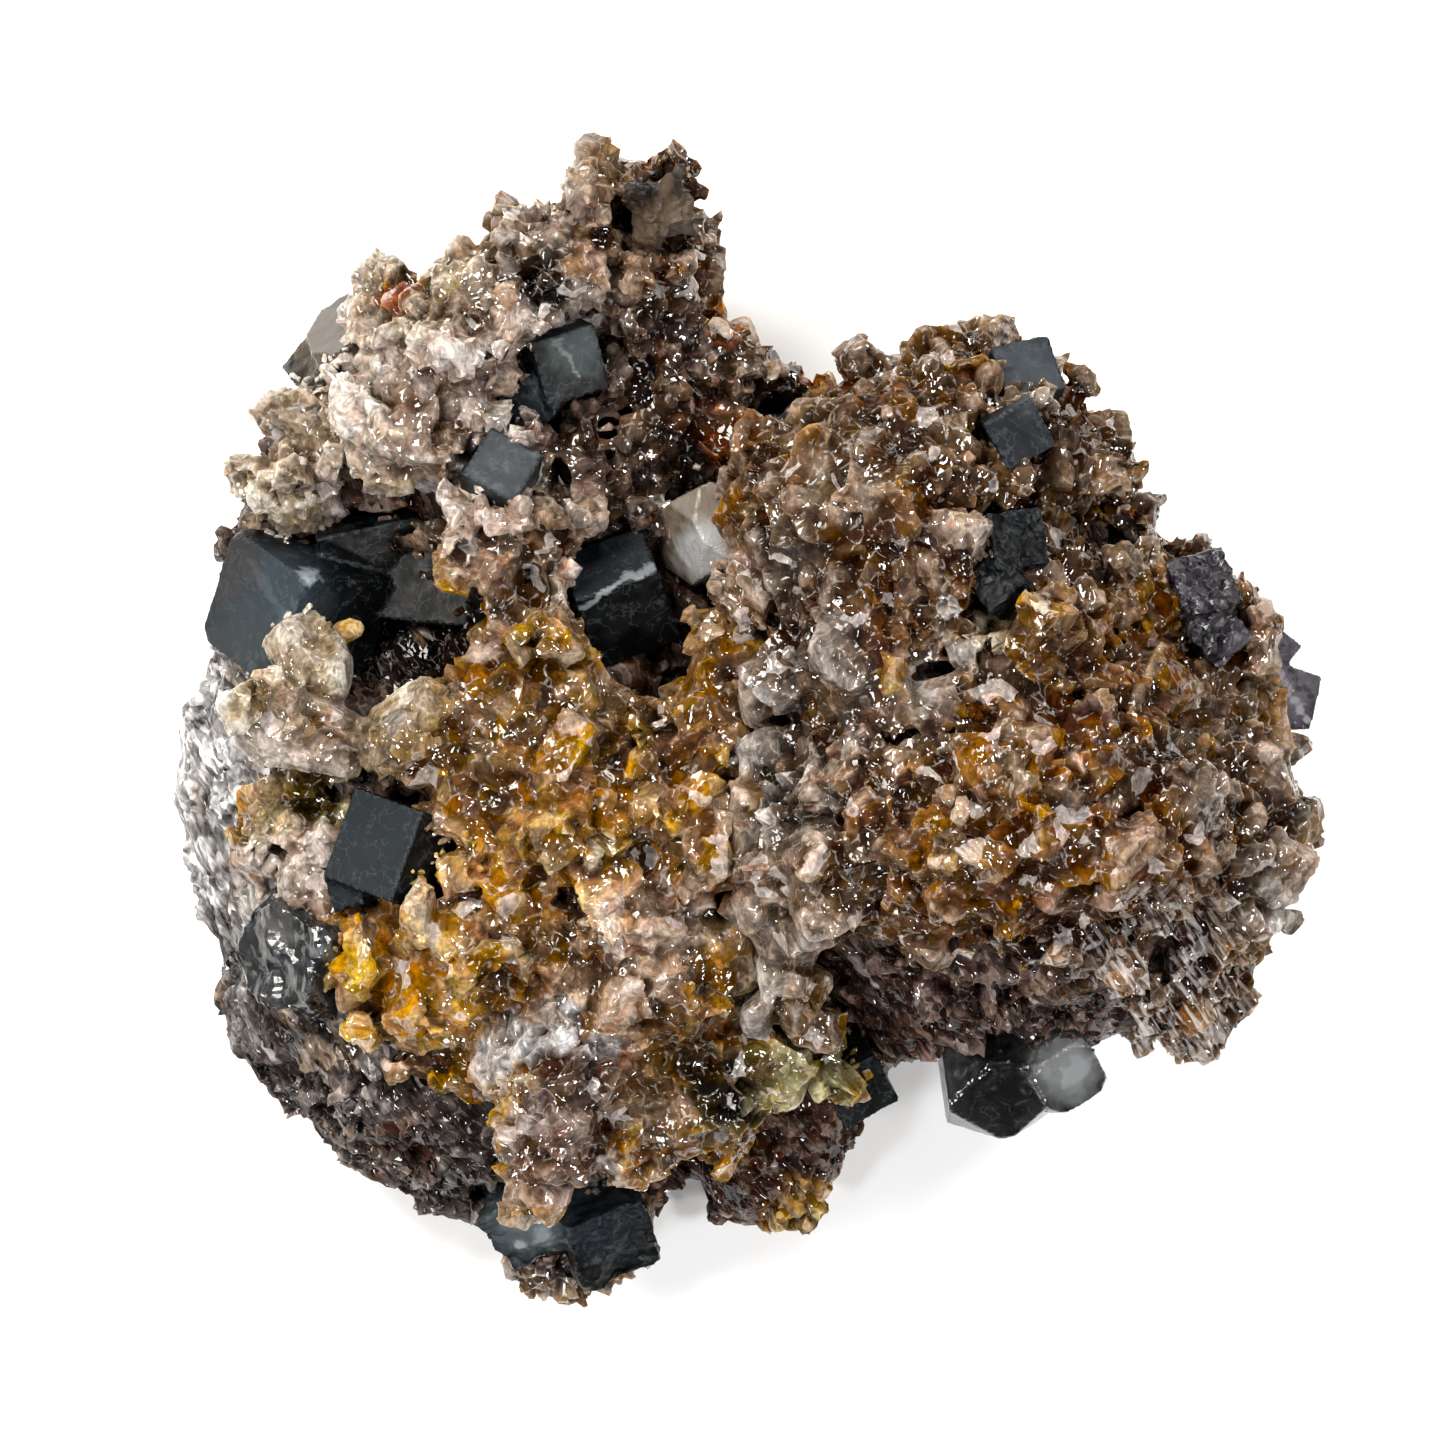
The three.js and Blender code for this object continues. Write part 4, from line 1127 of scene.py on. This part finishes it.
# The rock and its crusts. Sizes are in mm and places are of the plan.
# sink: how far the bare stone lies under the CAD's surface, and meets: the nodes where it keeps to it
# swells: their size and height, and bulges: place, radius and height
# voxel: cells of the skin over the crystals, and facets: the share of its triangles that stays
# faces, splinters: size, lean and step of the coarse and the fine faces
# calm: places with fainter faces, and granules: places with round grains
# lumps: the large crystals, by colour, place, width, length and height, and turn in degrees
# holes: x, y, radius and depth, and pits: how many small ones, their seed, radius and depth
# strays: crystals of another colour, whose own number is between low and high, and its share
# spots: colour, place, radius and how far it takes over
# fused: crystals under the skin, and loose: crystals on it
leftCrust = {
    "name": "crust_left",
    "node": "druse_left",
    "slot": "honey_quartz",
    "clearOf": ("host_rock", "druse_right"),
    "sink": 1.7,
    "meets": ("druse_right",),
    "bulges": (((-43, 19), 6, -2), ((-43, -1), 5, -1.5)),
    "swells": (7, 2.4),
    "voxel": 0.3,
    "facets": 0.3,
    "faces": (4.6, 0.32, 0.5),
    "splinters": (1.8, 0.3, 0.12),
    "calm": (((-33, 2), 5), ((-18, -2), 6), ((-26, -18), 4)),
    "granules": (((-24, 32), 13), ((-10, 40), 8), ((-6, 26), 10), ((-17, 17), 5)),
    # The near-white lumps are clear crystal with painted glints
    "lumps": (
        ("pale", (-35.1, 6), (6.5, 10, 2.8), 50),
        ("amber", (-32.7, 7.8), (1.8, 4.4, 1.8), -70),
        ("tan", (-35.5, -0.5), (8, 13, 2.2), 80),
        ("clear", (-25.6, 0.4), (5.4, 6, 1.5), 10),
        ("clear", (-19, -1.1), (5, 5.4, 1.8), 40),
        ("frost", (-15, 9.6), (2.2, 5, 2), 8),
        ("tan", (-21, 5.5), (5, 4.4, 2.6), 30),
        ("honey", (-13.5, 2.5), (4, 5, 2.2), 60),
        ("pink", (-4, -13), (4, 5.4, 2.8), 20),
        ("pale", (-12.5, -10.1), (1.9, 4, 2.6), 12),
        ("amber", (-19, -10.6), (5, 7.4, 3), -25),
        ("honey", (-2.5, 4.4), (6, 8.4, 3), 0),
        ("amber", (-30.1, -15.6), (4, 4.4, 3), 0),
        ("amber", (-33.6, -20.2), (3.4, 2.6, 2), 0),
        ("pale", (-12, -15.6), (3.4, 2.6, 1.8), 30),
        ("frost", (-36.6, -12.4), (4.6, 6, 2.6), -10),
        ("yellow", (-32.6, -8), (3, 6, 2.4), 10),
        ("gold", (-1, -12.2), (3, 3.4, 2), 0),
        ("amber", (-24, -22), (5, 6, 2.6), 40),
        ("umber", (-14.5, -30), (7.5, 6.5, 2.6), 0),
        ("silver", (-17.6, -26), (2.4, 6, 2.2), -35),
        ("lilac", (-14.5, -36), (5.5, 3.4, 2.6), 10),
        ("pink", (-27, -27.5), (5, 2.6, 2), -25),
        ("honey", (-7, -30), (3, 6, 2.2), -5),
        ("olive", (-1, -29), (5, 6, 1.8), 0),
        ("yellow", (3.5, -29), (3.4, 5, 2.4), -15),
        ("clear", (-26, 31), (6, 4, 2.6), 30),
        ("tan", (-31, 26), (6, 7, 2.8), 0),
        ("pale", (-28.5, 20.5), (7, 4, 2.4), 10),
        ("ash", (-5, 44), (5, 3.4, 1.8), 0),
        ("clear", (-14, 40), (4, 5, 1.8), 30),
        ("clear", (-21.5, 25), (5, 5, 2.2), 0),
    ),
    "holes": (
        (-17.6, 11.6, 1.1, 4),
        (-15.2, 4.3, 0.9, 3),
        (-16.4, 36, 1.8, 4),
        (-21.8, -11.5, 1.2, 4),
        (-14.3, -14, 0.9, 3),
        (-1.5, -13.8, 1.6, 4),
        (-11.5, 39.5, 0.9, 3),
        (-22, 32.5, 0.8, 2),
        (-3.5, 21.5, 2.2, 3),
        (-8.5, -10.5, 0.9, 2.5),
        (-35, -5.5, 2.2, 3),
        (-5, -27.5, 0.9, 2),
    ),
    "pits": (60, 21, 0.55, 1.6),
    "ground": "honey",
    "strays": (("clear", 0.05, 0.2, 0.6), ("pink", 0.45, 0.55, 0.6), ("brown", 0.75, 0.88, 0.6)),
    "spots": (
        ("tan", (-25, 32), 14, 1),
        ("tan", (-12, 38), 14, 1),
        ("tan", (-33, 24), 9, 1),
        ("tan", (-16, 18), 8, 1),
        ("ash", (-6, 42), 9, 0.9),
        ("ash", (-20, 39), 6, 0.5),
        ("pale", (-27, 37), 6, 0.7),
        ("pale", (-36, 26), 6, 0.6),
        # Painted shade in a hole
        ("dark", (-16.4, 36), 2.6, 1),
        ("brown", (-9, 45), 4, 0.7),
        ("rust", (-28.7, 35.5), 1.8, 1),
        ("rust", (-4.8, 34), 4, 1),
        ("amber", (-5, 33.6), 2, 0.6),
        ("plum", (-9, 27), 8, 1),
        ("plum", (0, 25), 9, 1),
        ("plum", (-14, 20.5), 5, 1),
        ("plum", (-4, 32), 6, 0.9),
        ("plum", (6, 30), 7, 0.8),
        ("plum", (-4, 18), 6, 1),
        ("ash", (1, 29), 4, 0.7),
        ("rust", (-2, 24), 2.2, 1),
        ("rust", (7.5, 29.5), 2.2, 1),
        ("rust", (-1.5, 33.5), 2, 0.9),
        ("pink", (-18, 16), 6, 0.7),
        ("honey", (-16, 5), 6, 0.55),
        ("pale", (-33, 3), 7, 0.9),
        ("honey", (-34, -3), 3, 0.5),
        ("pale", (-41, 18), 6, 0.9),
        ("pale", (-40.5, 0), 4, 0.9),
        ("clear", (-19, -1), 5, 0.7),
        ("clear", (-12, 0), 5, 0.5),
        ("honey", (-22, -5), 6, 0.8),
        ("honey", (-11, -5), 7, 0.8),
        ("honey", (-2.5, 4), 5, 0.9),
        ("amber", (-13, -11), 7, 0.9),
        ("honey", (-4, -9), 6, 0.8),
        ("amber", (-22, -15), 6, 0.9),
        ("tan", (-8, -17), 5, 0.6),
        ("honey", (-17, -20), 6, 0.7),
        ("amber", (-30, -21), 6, 0.9),
        ("amber", (-24, -26), 6, 0.8),
        ("pink", (-13, -25), 6, 0.7),
        ("umber", (-13.5, -29.6), 4.4, 1),
        ("lilac", (-15.4, -34.6), 4.6, 1),
        # A row of painted glints
        ("silver", (-20.6, -27.6), 1.8, 0.9),
        ("silver", (-18, -25.2), 1.8, 0.9),
        ("silver", (-14.8, -23.6), 1.8, 0.9),
        ("silver", (-11.6, -25.8), 1.4, 0.8),
        ("brown", (-6, -31), 3.4, 0.7),
        ("olive", (-0.5, -29.5), 4.4, 1),
        # Painted shade in a pit
        ("dark", (-0.8, -28.8), 3.4, 0.9),
        ("yellow", (4.5, -28), 4, 0.9),
        ("yellow", (-35, -8), 5, 0.8),
        ("tan", (-37, -12.4), 4.6, 1),
        ("honey", (-1, -22), 5, 0.7),
        ("clear", (0, -14), 4, 0.6),
    ),
    "fused": (
        {"shapes": "blocks", "spacing": 5.0, "size": (4.0, 8.0), "tilt": 0.5, "seed": 3},
        {"shapes": "blocks", "spacing": 4.0, "size": (2.2, 4.4), "tilt": 0.7, "seed": 33},
    ),
    "loose": (),
}
rightCrust = {
    "name": "crust_right",
    "node": "druse_right",
    "slot": "smoky_quartz_druse",
    "clearOf": ("host_rock", "druse_left"),
    "sink": 1.5,
    "meets": ("druse_left",),
    "bulges": (),
    "swells": (6.5, 2.4),
    "voxel": 0.3,
    "facets": 0.3,
    "faces": (4.2, 0.3, 0.4),
    "splinters": (1.7, 0.3, 0.12),
    "calm": (((2.5, -16), 5), ((8, 16), 7), ((13, 1), 5), ((24, -8), 4)),
    "granules": (((21, 28), 7), ((32, 15), 5)),
    # The pale lumps are clear crystal with painted glints: a column along the seam and a few patches
    "lumps": (
        ("smoke", (8.4, 5.8), (7, 9, 3.4), 20),
        ("amber", (11.4, 4.6), (3.6, 6, 4.2), 15),
        ("smoke", (1.7, -2.8), (5, 7.4, 2.6), 0),
        ("smoke", (2.7, -9.2), (4, 6.4, 2.2), 0),
        ("frost", (1.6, -19.5), (2, 9, 2), 4),
        ("clear", (4.6, -17), (3, 6, 2.4), -8),
        ("yellow", (20.4, 9), (2.4, 2.6, 2.6), 0),
        ("gold", (18.5, -3), (6, 7, 2.8), 20),
        ("frost", (21.4, 1), (2, 2.4, 1.6), 30),
        ("frost", (10.9, 16.5), (1.4, 1.8, 1.4), 20),
        ("ash", (32.4, 0), (4, 5, 2.4), 30),
        ("amber", (37.2, -1.1), (2.4, 2.6, 2), 0),
        ("tan", (41.5, 3), (4, 3.6, 2.4), 0),
        ("clear", (32, 17), (6, 4.4, 2.8), -30),
        ("brown", (26.4, 6.4), (5, 6, 2.8), 20),
        ("brown", (30.5, 10), (4, 4.4, 2.4), 0),
        ("pink", (0, 13), (3.6, 4.4, 2.4), 0),
        ("clear", (42, -5), (4, 8, 2.4), 20),
        ("clear", (6, 24), (4, 6, 2.2), -40),
        ("pink", (13, -9), (3.4, 4, 2), 50),
        ("frost", (31, -12), (1.8, 2.6, 1.6), 40),
        ("clear", (25, -5), (3, 4, 2), 50),
        ("pink", (24, -13), (3, 3.4, 2), 10),
        ("clear", (36, -10), (3.4, 5.4, 2), 35),
        ("clear", (0.8, 2.4), (3.6, 6, 2.6), 10),
        ("clear", (0.2, -6.5), (3.8, 6, 3), 12),
        ("clear", (0.6, -13.5), (3.6, 7, 3), -6),
        ("frost", (0.8, -23.5), (3, 5, 3), 6),
        ("clear", (-0.4, 8.4), (3, 4, 2.6), 0),
    ),
    "holes": (
        (20.6, 14.2, 1.6, 4),
        (26.5, 26.5, 1.1, 3),
        (22.5, 17.5, 1.2, 3),
        (15.5, -3, 0.8, 2.5),
        (30.5, -7, 0.9, 2),
        (12, 21, 0.7, 2),
    ),
    "pits": (60, 22, 0.5, 1.6),
    "ground": "brown",
    "strays": (("clear", 0.05, 0.2, 0.6), ("pink", 0.45, 0.52, 0.6), ("gold", 0.75, 0.9, 0.5)),
    "spots": (
        ("ash", (19, 28), 9, 1),
        ("smoke", (25, 24), 4, 0.5),
        ("ash", (29, 20), 7, 0.9),
        ("clear", (6, 21), 5, 0.5),
        ("clear", (2, 14), 4, 0.6),
        ("pink", (-0.5, 12), 2.5, 0.9),
        ("gold", (9, 6), 3.6, 1),
        ("clear", (6, 3), 4, 0.8),
        ("smoke", (2, -6), 5, 1),
        ("smoke", (1, 3), 4, 0.8),
        ("smoke", (12, 0), 4.5, 0.8),
        ("clear", (3.5, -14), 5, 1),
        ("smoke", (1, -20), 4.5, 1),
        # Painted glints: a column along the seam
        ("frost", (1.4, -15), 2, 0.8),
        ("frost", (1.4, -19), 2, 0.9),
        ("frost", (2, -23), 2.2, 0.9),
        ("clear", (6, -23), 4, 0.9),
        ("smoke", (3, 12), 3.4, 0.6),
        ("smoke", (17, 3), 4, 0.7),
        ("smoke", (41.5, -5), 5, 0.7),
        ("gold", (21, -3), 7, 0.9),
        ("gold", (30, 3), 5, 0.8),
        ("gold", (13, -5), 5, 0.6),
        ("honey", (18, -9), 6, 0.7),
        ("gold", (28, -11), 7, 0.6),
        ("honey", (22, 8), 3, 0.8),
        ("gold", (33, 8), 4, 0.6),
        ("clear", (41, 0), 5, 0.6),
        ("ash", (43, -10), 6, 0.9),
        ("ash", (36, -20), 7, 0.7),
        # Painted shade in a hole
        ("dark", (20.6, 14), 3.2, 0.9),
        ("pale", (19.5, 8), 2, 0.9),
        # Painted glint
        ("frost", (42.6, -14), 3, 0.8),
        ("umber", (32, -19), 6, 0.7),
        ("yellow", (28.4, -26.4), 2, 0.7),
    ),
    "fused": (
        {"shapes": "blocks", "spacing": 4.8, "size": (3.6, 7.6), "tilt": 0.45, "seed": 5},
        {"shapes": "blocks", "spacing": 3.8, "size": (2.0, 4.2), "tilt": 0.6, "seed": 35},
    ),
    "loose": (),
}
footCrust = {
    "name": "crust_foot",
    "node": "druse_foot",
    "slot": "pale_quartz",
    "clearOf": ("host_rock",),
    "sink": 0.6,
    "meets": (),
    "bulges": (),
    "swells": (5, 0.8),
    "voxel": 0.35,
    "facets": 0.5,
    "faces": (2.4, 0.5, 0.4),
    "splinters": (1.2, 0.4, 0.2),
    "calm": (),
    "granules": (),
    "lumps": (),
    "holes": (),
    "pits": (0, 0, 0, 0),
    "ground": "ash",
    "strays": (("clear", 0.1, 0.3, 0.6),),
    "spots": (("lilac", (-15, -44), 3, 0.6),),
    "fused": ({"shapes": "blocks", "spacing": 1.7, "size": (1.2, 2.6), "tilt": 0.8, "seed": 7},),
    "loose": ({"shapes": "chips", "spacing": 1.3, "size": (0.5, 1.4), "tilt": 1.1, "seed": 8},),
}
rockBody = {
    "name": "rock",
    "node": "host_rock",
    "slot": "host_rock",
    "clearOf": ("druse_left", "druse_right", "druse_foot"),
    "sink": 0.2,
    "meets": (),
    "bulges": (((-34, -28), 13, 2.6),),
    "swells": (8, 1.6),
    "voxel": 0.45,
    "facets": 0.5,
    "faces": (3.6, 0.4, 0.4),
    "splinters": (1.4, 0.4, 0.2),
    "calm": (((-45, -3), 8), ((-44, -14), 7)),
    "granules": (),
    "lumps": (),
    "holes": (),
    "pits": (40, 23, 0.7, 1.6),
    "ground": "plum",
    "strays": (("ash", 0.1, 0.25, 0.6),),
    "spots": (
        ("slate", (-46, 8), 7, 0.8),
        # Painted sheen on the flank
        ("silver", (-46, -3), 9, 1),
        ("silver", (-44, -15), 8, 0.9),
        ("slate", (-40, -24), 7, 0.8),
        # Painted shade: the vug's floor is near black
        ("dark", (-27, 9), 6, 1),
        ("dark", (-33, 12), 6, 1),
        ("shale", (-34, -26), 9, 0.9),
        ("shale", (-26, -33), 9, 0.9),
        ("shale", (-17, -41), 8, 0.9),
        ("umber", (-29, -35), 3, 0.7),
        ("umber", (2, -38), 9, 0.8),
        ("amber", (5, -42), 4, 0.6),
        ("ash", (-12, 40), 12, 0.7),
        ("slate", (0, 27), 6, 0.6),
        ("slate", (-7, 21), 4, 0.6),
        ("rust", (-4.8, 34), 4, 1),
        ("rust", (-2, 24), 2.4, 1),
        ("rust", (7.5, 29.5), 2.6, 1),
    ),
    "fused": ({"shapes": "blocks", "spacing": 4.4, "size": (1.6, 4.0), "tilt": 0.6, "seed": 9},),
    "loose": (),
}


def looseTree(part, crystals):
    tree, shape = newShapeTree(f"{part['name']}_{crystals['shapes']}")
    points, rotation = openPoints(tree, shape, crystals, part["clearOf"])
    addNode(tree, "NodeGroupOutput", strewn(tree, points, rotation, crystals))
    return tree


crustHosts = []
for part in (rockBody, leftCrust, rightCrust, footCrust):
    mesh = stoneMesh(part)
    paint(mesh, part)
    host = newObject(part["name"], mesh)
    onlyMaterial(host, crustMaterials[part["name"]])
    mesh.shade_smooth()
    for crystals in part["loose"]:
        carrier = newObject("carrier", mesh.copy())
        addTree(carrier, looseTree(part, crystals))
        pieceName = f"{part['name']}_{crystals['shapes']}"
        piece = newObject(pieceName, finalMesh(carrier, pieceName))
        bpy.data.objects.remove(carrier)
        onlyMaterial(piece, crustMaterials[part["name"]])
        piece.data.shade_flat()
        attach(piece, "root")
        print(piece.name, len(piece.data.polygons), "triangles")
    crustHosts.append(host)
    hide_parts(part["node"])
    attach(host, "root")
    print(host.name, len(mesh.loops) - 2 * len(mesh.polygons), "triangles")

# Growth relief of the single crystals, in mm: the remesh's cells, the grains' size and depth, and the
# share of the triangles that stays
crystalFaces = {"voxel": 0.25, "grain": (2.6, 0.1), "facets": 0.3}
roughFaces = {"voxel": 0.28, "grain": (1.1, 0.5), "facets": 0.45}
wornFaces = {"voxel": 0.28, "grain": (3.2, 1.3), "facets": 0.4}
lumpyFaces = {"voxel": 0.28, "grain": (2.2, 2.4), "facets": 0.5}
relief = {
    "fluorite_pit_cluster": roughFaces,
    "fluorite_purple_cluster": roughFaces,
    "fluorite_knob_cube": lumpyFaces,
    "fluorite_foot_pair": wornFaces,
    "smoky_crystal_flank": wornFaces,
}


def reliefTree(name, faces):
    tree, shape = newShapeTree(name + "_relief")
    place = addNode(tree, "GeometryNodeInputPosition")
    size, depth = faces["grain"]
    waves = {"Vector": place, "Scale": 1 / (size * mm), "Detail": 2.0}
    height = addNode(tree, "ShaderNodeTexNoise", named=waves)
    height = addNode(tree, "ShaderNodeMath", height, 0.6, operation="SUBTRACT")  # mostly inwards
    height = addNode(tree, "ShaderNodeMath", height, 2 * depth * mm, operation="MULTIPLY")
    addNode(tree, "NodeGroupOutput", moveOut(tree, shape, height))
    return tree


crystalPieces = []
for subpart in frame["record"]["subparts"]:
    nodeName, slot = subpart["node"], subpart["material_slot"]
    if slot not in crystalLooks:
        continue
    faces = relief.get(nodeName, crystalFaces)
    raw = newObject(nodeName + "_raw", nodeCopy(nodeName))
    addRemesh(raw, faces["voxel"])
    addTree(raw, reliefTree(nodeName, faces))
    addThinning(raw, faces["facets"])
    piece = newObject(nodeName + "_faces", finalMesh(raw, nodeName + "_faces"))
    bpy.data.objects.remove(raw)
    onlyMaterial(piece, crystalMaterials[slot])
    piece.data.shade_flat()
    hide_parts(nodeName)
    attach(piece, "root")
    crystalPieces.append(piece)
print("single crystals", sum(len(piece.data.polygons) for piece in crystalPieces), "triangles")

# Small crystals of the crust that have grown over the feet of the single crystals
overgrowth = {
    "name": "crystal_overgrowth",
    "slot": "honey_quartz",
    "reach": 0.5,  # mm from the crust on average
    "patches": 4,  # mm; they reach further in some patches than in others
    "crystals": {"shapes": "chips", "spacing": 0.7, "size": (0.5, 1.3), "tilt": 1.2, "seed": 12},
}


def overgrowthTree(part, hosts):
    tree, shape = newShapeTree(part["name"])
    points, rotation = openPoints(tree, shape, part["crystals"], ())
    place = addNode(tree, "GeometryNodeInputPosition")
    waves = {"Vector": place, "Scale": 1 / (part["patches"] * mm), "Detail": 1.0}
    reach = addNode(tree, "ShaderNodeTexNoise", named=waves)
    reach = addNode(tree, "ShaderNodeMapRange", reach, *fullNoise, 0, 2 * part["reach"] * mm)
    far = addNode(tree, "ShaderNodeMath", distanceTo(tree, hosts), reach, operation="GREATER_THAN")
    points = addNode(tree, "GeometryNodeDeleteGeometry", points, far)
    both = addNode(tree, "GeometryNodeJoinGeometry").node
    for host in hosts:
        found = addNode(tree, "GeometryNodeObjectInfo", named={"Object": host}, output="Geometry")
        tree.links.new(found, both.inputs[0])
    tint = addNode(tree, "GeometryNodeInputNamedAttribute", named={"Name": "tint"}, data_type="FLOAT_COLOR")
    nearest = {"Mesh": both.outputs[0], "Value": tint}
    tint = addNode(tree, "GeometryNodeSampleNearestSurface", named=nearest, data_type="FLOAT_COLOR")
    kept = {"Geometry": points, "Name": "tint", "Value": tint}
    points = addNode(
        tree, "GeometryNodeStoreNamedAttribute", named=kept, data_type="FLOAT_COLOR", domain="POINT"
    )
    addNode(tree, "NodeGroupOutput", strewn(tree, points, rotation, part["crystals"]))
    return tree


joined = bmesh.new()
for piece in crystalPieces:
    joined.from_mesh(piece.data)
carrierMesh = bpy.data.meshes.new("carrier")
joined.to_mesh(carrierMesh)
joined.free()
carrier = newObject("carrier", carrierMesh)
addTree(carrier, overgrowthTree(overgrowth, crustHosts))
growth = newObject(overgrowth["name"], finalMesh(carrier, overgrowth["name"]))
bpy.data.objects.remove(carrier)
onlyMaterial(growth, crustMaterials["crust_left"])
growth.data.shade_flat()
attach(growth, "root")
print(growth.name, len(growth.data.polygons), "triangles")

# Floor, sky, lamps and camera
floorSheet = {"size": 3000, "drop": 0.3, "color": "#f6f5f3", "roughness": 0.7}  # mm
skyLight = {"color": "#f4f7ff", "strength": 0.1}
lamps = {
    "window": {"at": (-230, 270, 430), "side": 200, "power": 3.4, "color": "#fffaf2"},
    "windowLow": {"at": (-330, 30, 400), "side": 120, "power": 1.4, "color": "#fffaf2"},
    "lampTop": {"at": (60, 380, 400), "side": 90, "power": 1.3, "color": "#ffffff"},
    "lampRight": {"at": (330, 170, 400), "side": 70, "power": 1.0, "color": "#ffffff"},
    "lampRightLow": {"at": (320, -170, 400), "side": 60, "power": 0.8, "color": "#ffffff"},
    "lampFront": {"at": (20, -360, 400), "side": 60, "power": 0.8, "color": "#ffffff"},
    "lampLeft": {"at": (-260, -260, 420), "side": 60, "power": 0.8, "color": "#f2f6ff"},
    "lampOver": {"at": (210, -60, 520), "side": 60, "power": 0.8, "color": "#ffffff"},
}
viewPoint = {"at": (-1.845, 0.45, 625), "lens": 182.3}  # mm; straight above the show face
lampAim = Vector((0, 0, 30))  # mm; the middle of the show face

bpy.ops.mesh.primitive_plane_add(size=floorSheet["size"] * mm, location=(0, 0, -floorSheet["drop"] * mm))
floor = bpy.context.object
floor.name = "floor"
floorPaper, floorTree, floorShader = newMaterial("paleFloorPaper")
floorShader.inputs["Base Color"].default_value = (*toLinear(floorSheet["color"]), 1)
floorShader.inputs["Roughness"].default_value = floorSheet["roughness"]
floor.data.materials.append(floorPaper)

sky = bpy.data.worlds.new("sky")
sky.use_nodes = True
background = sky.node_tree.nodes["Background"]
background.inputs["Color"].default_value = (*toLinear(skyLight["color"]), 1)
background.inputs["Strength"].default_value = skyLight["strength"]
bpy.context.scene.world = sky

for name, lamp in lamps.items():
    light = bpy.data.lights.new(name, "AREA")
    light.size = lamp["side"] * mm
    light.energy = lamp["power"]
    light.color = toLinear(lamp["color"])
    made = newObject(name, light)
    made.location = Vector(lamp["at"]) * mm
    made.rotation_euler = (lampAim * mm - made.location).to_track_quat("-Z", "Y").to_euler()

lens = bpy.data.cameras.new("camera")
lens.lens = viewPoint["lens"]
camera = newObject("camera", lens)
camera.location = planOrigin + Vector(viewPoint["at"]) * mm
bpy.context.scene.camera = camera
bpy.context.scene.view_settings.view_transform = "Standard"
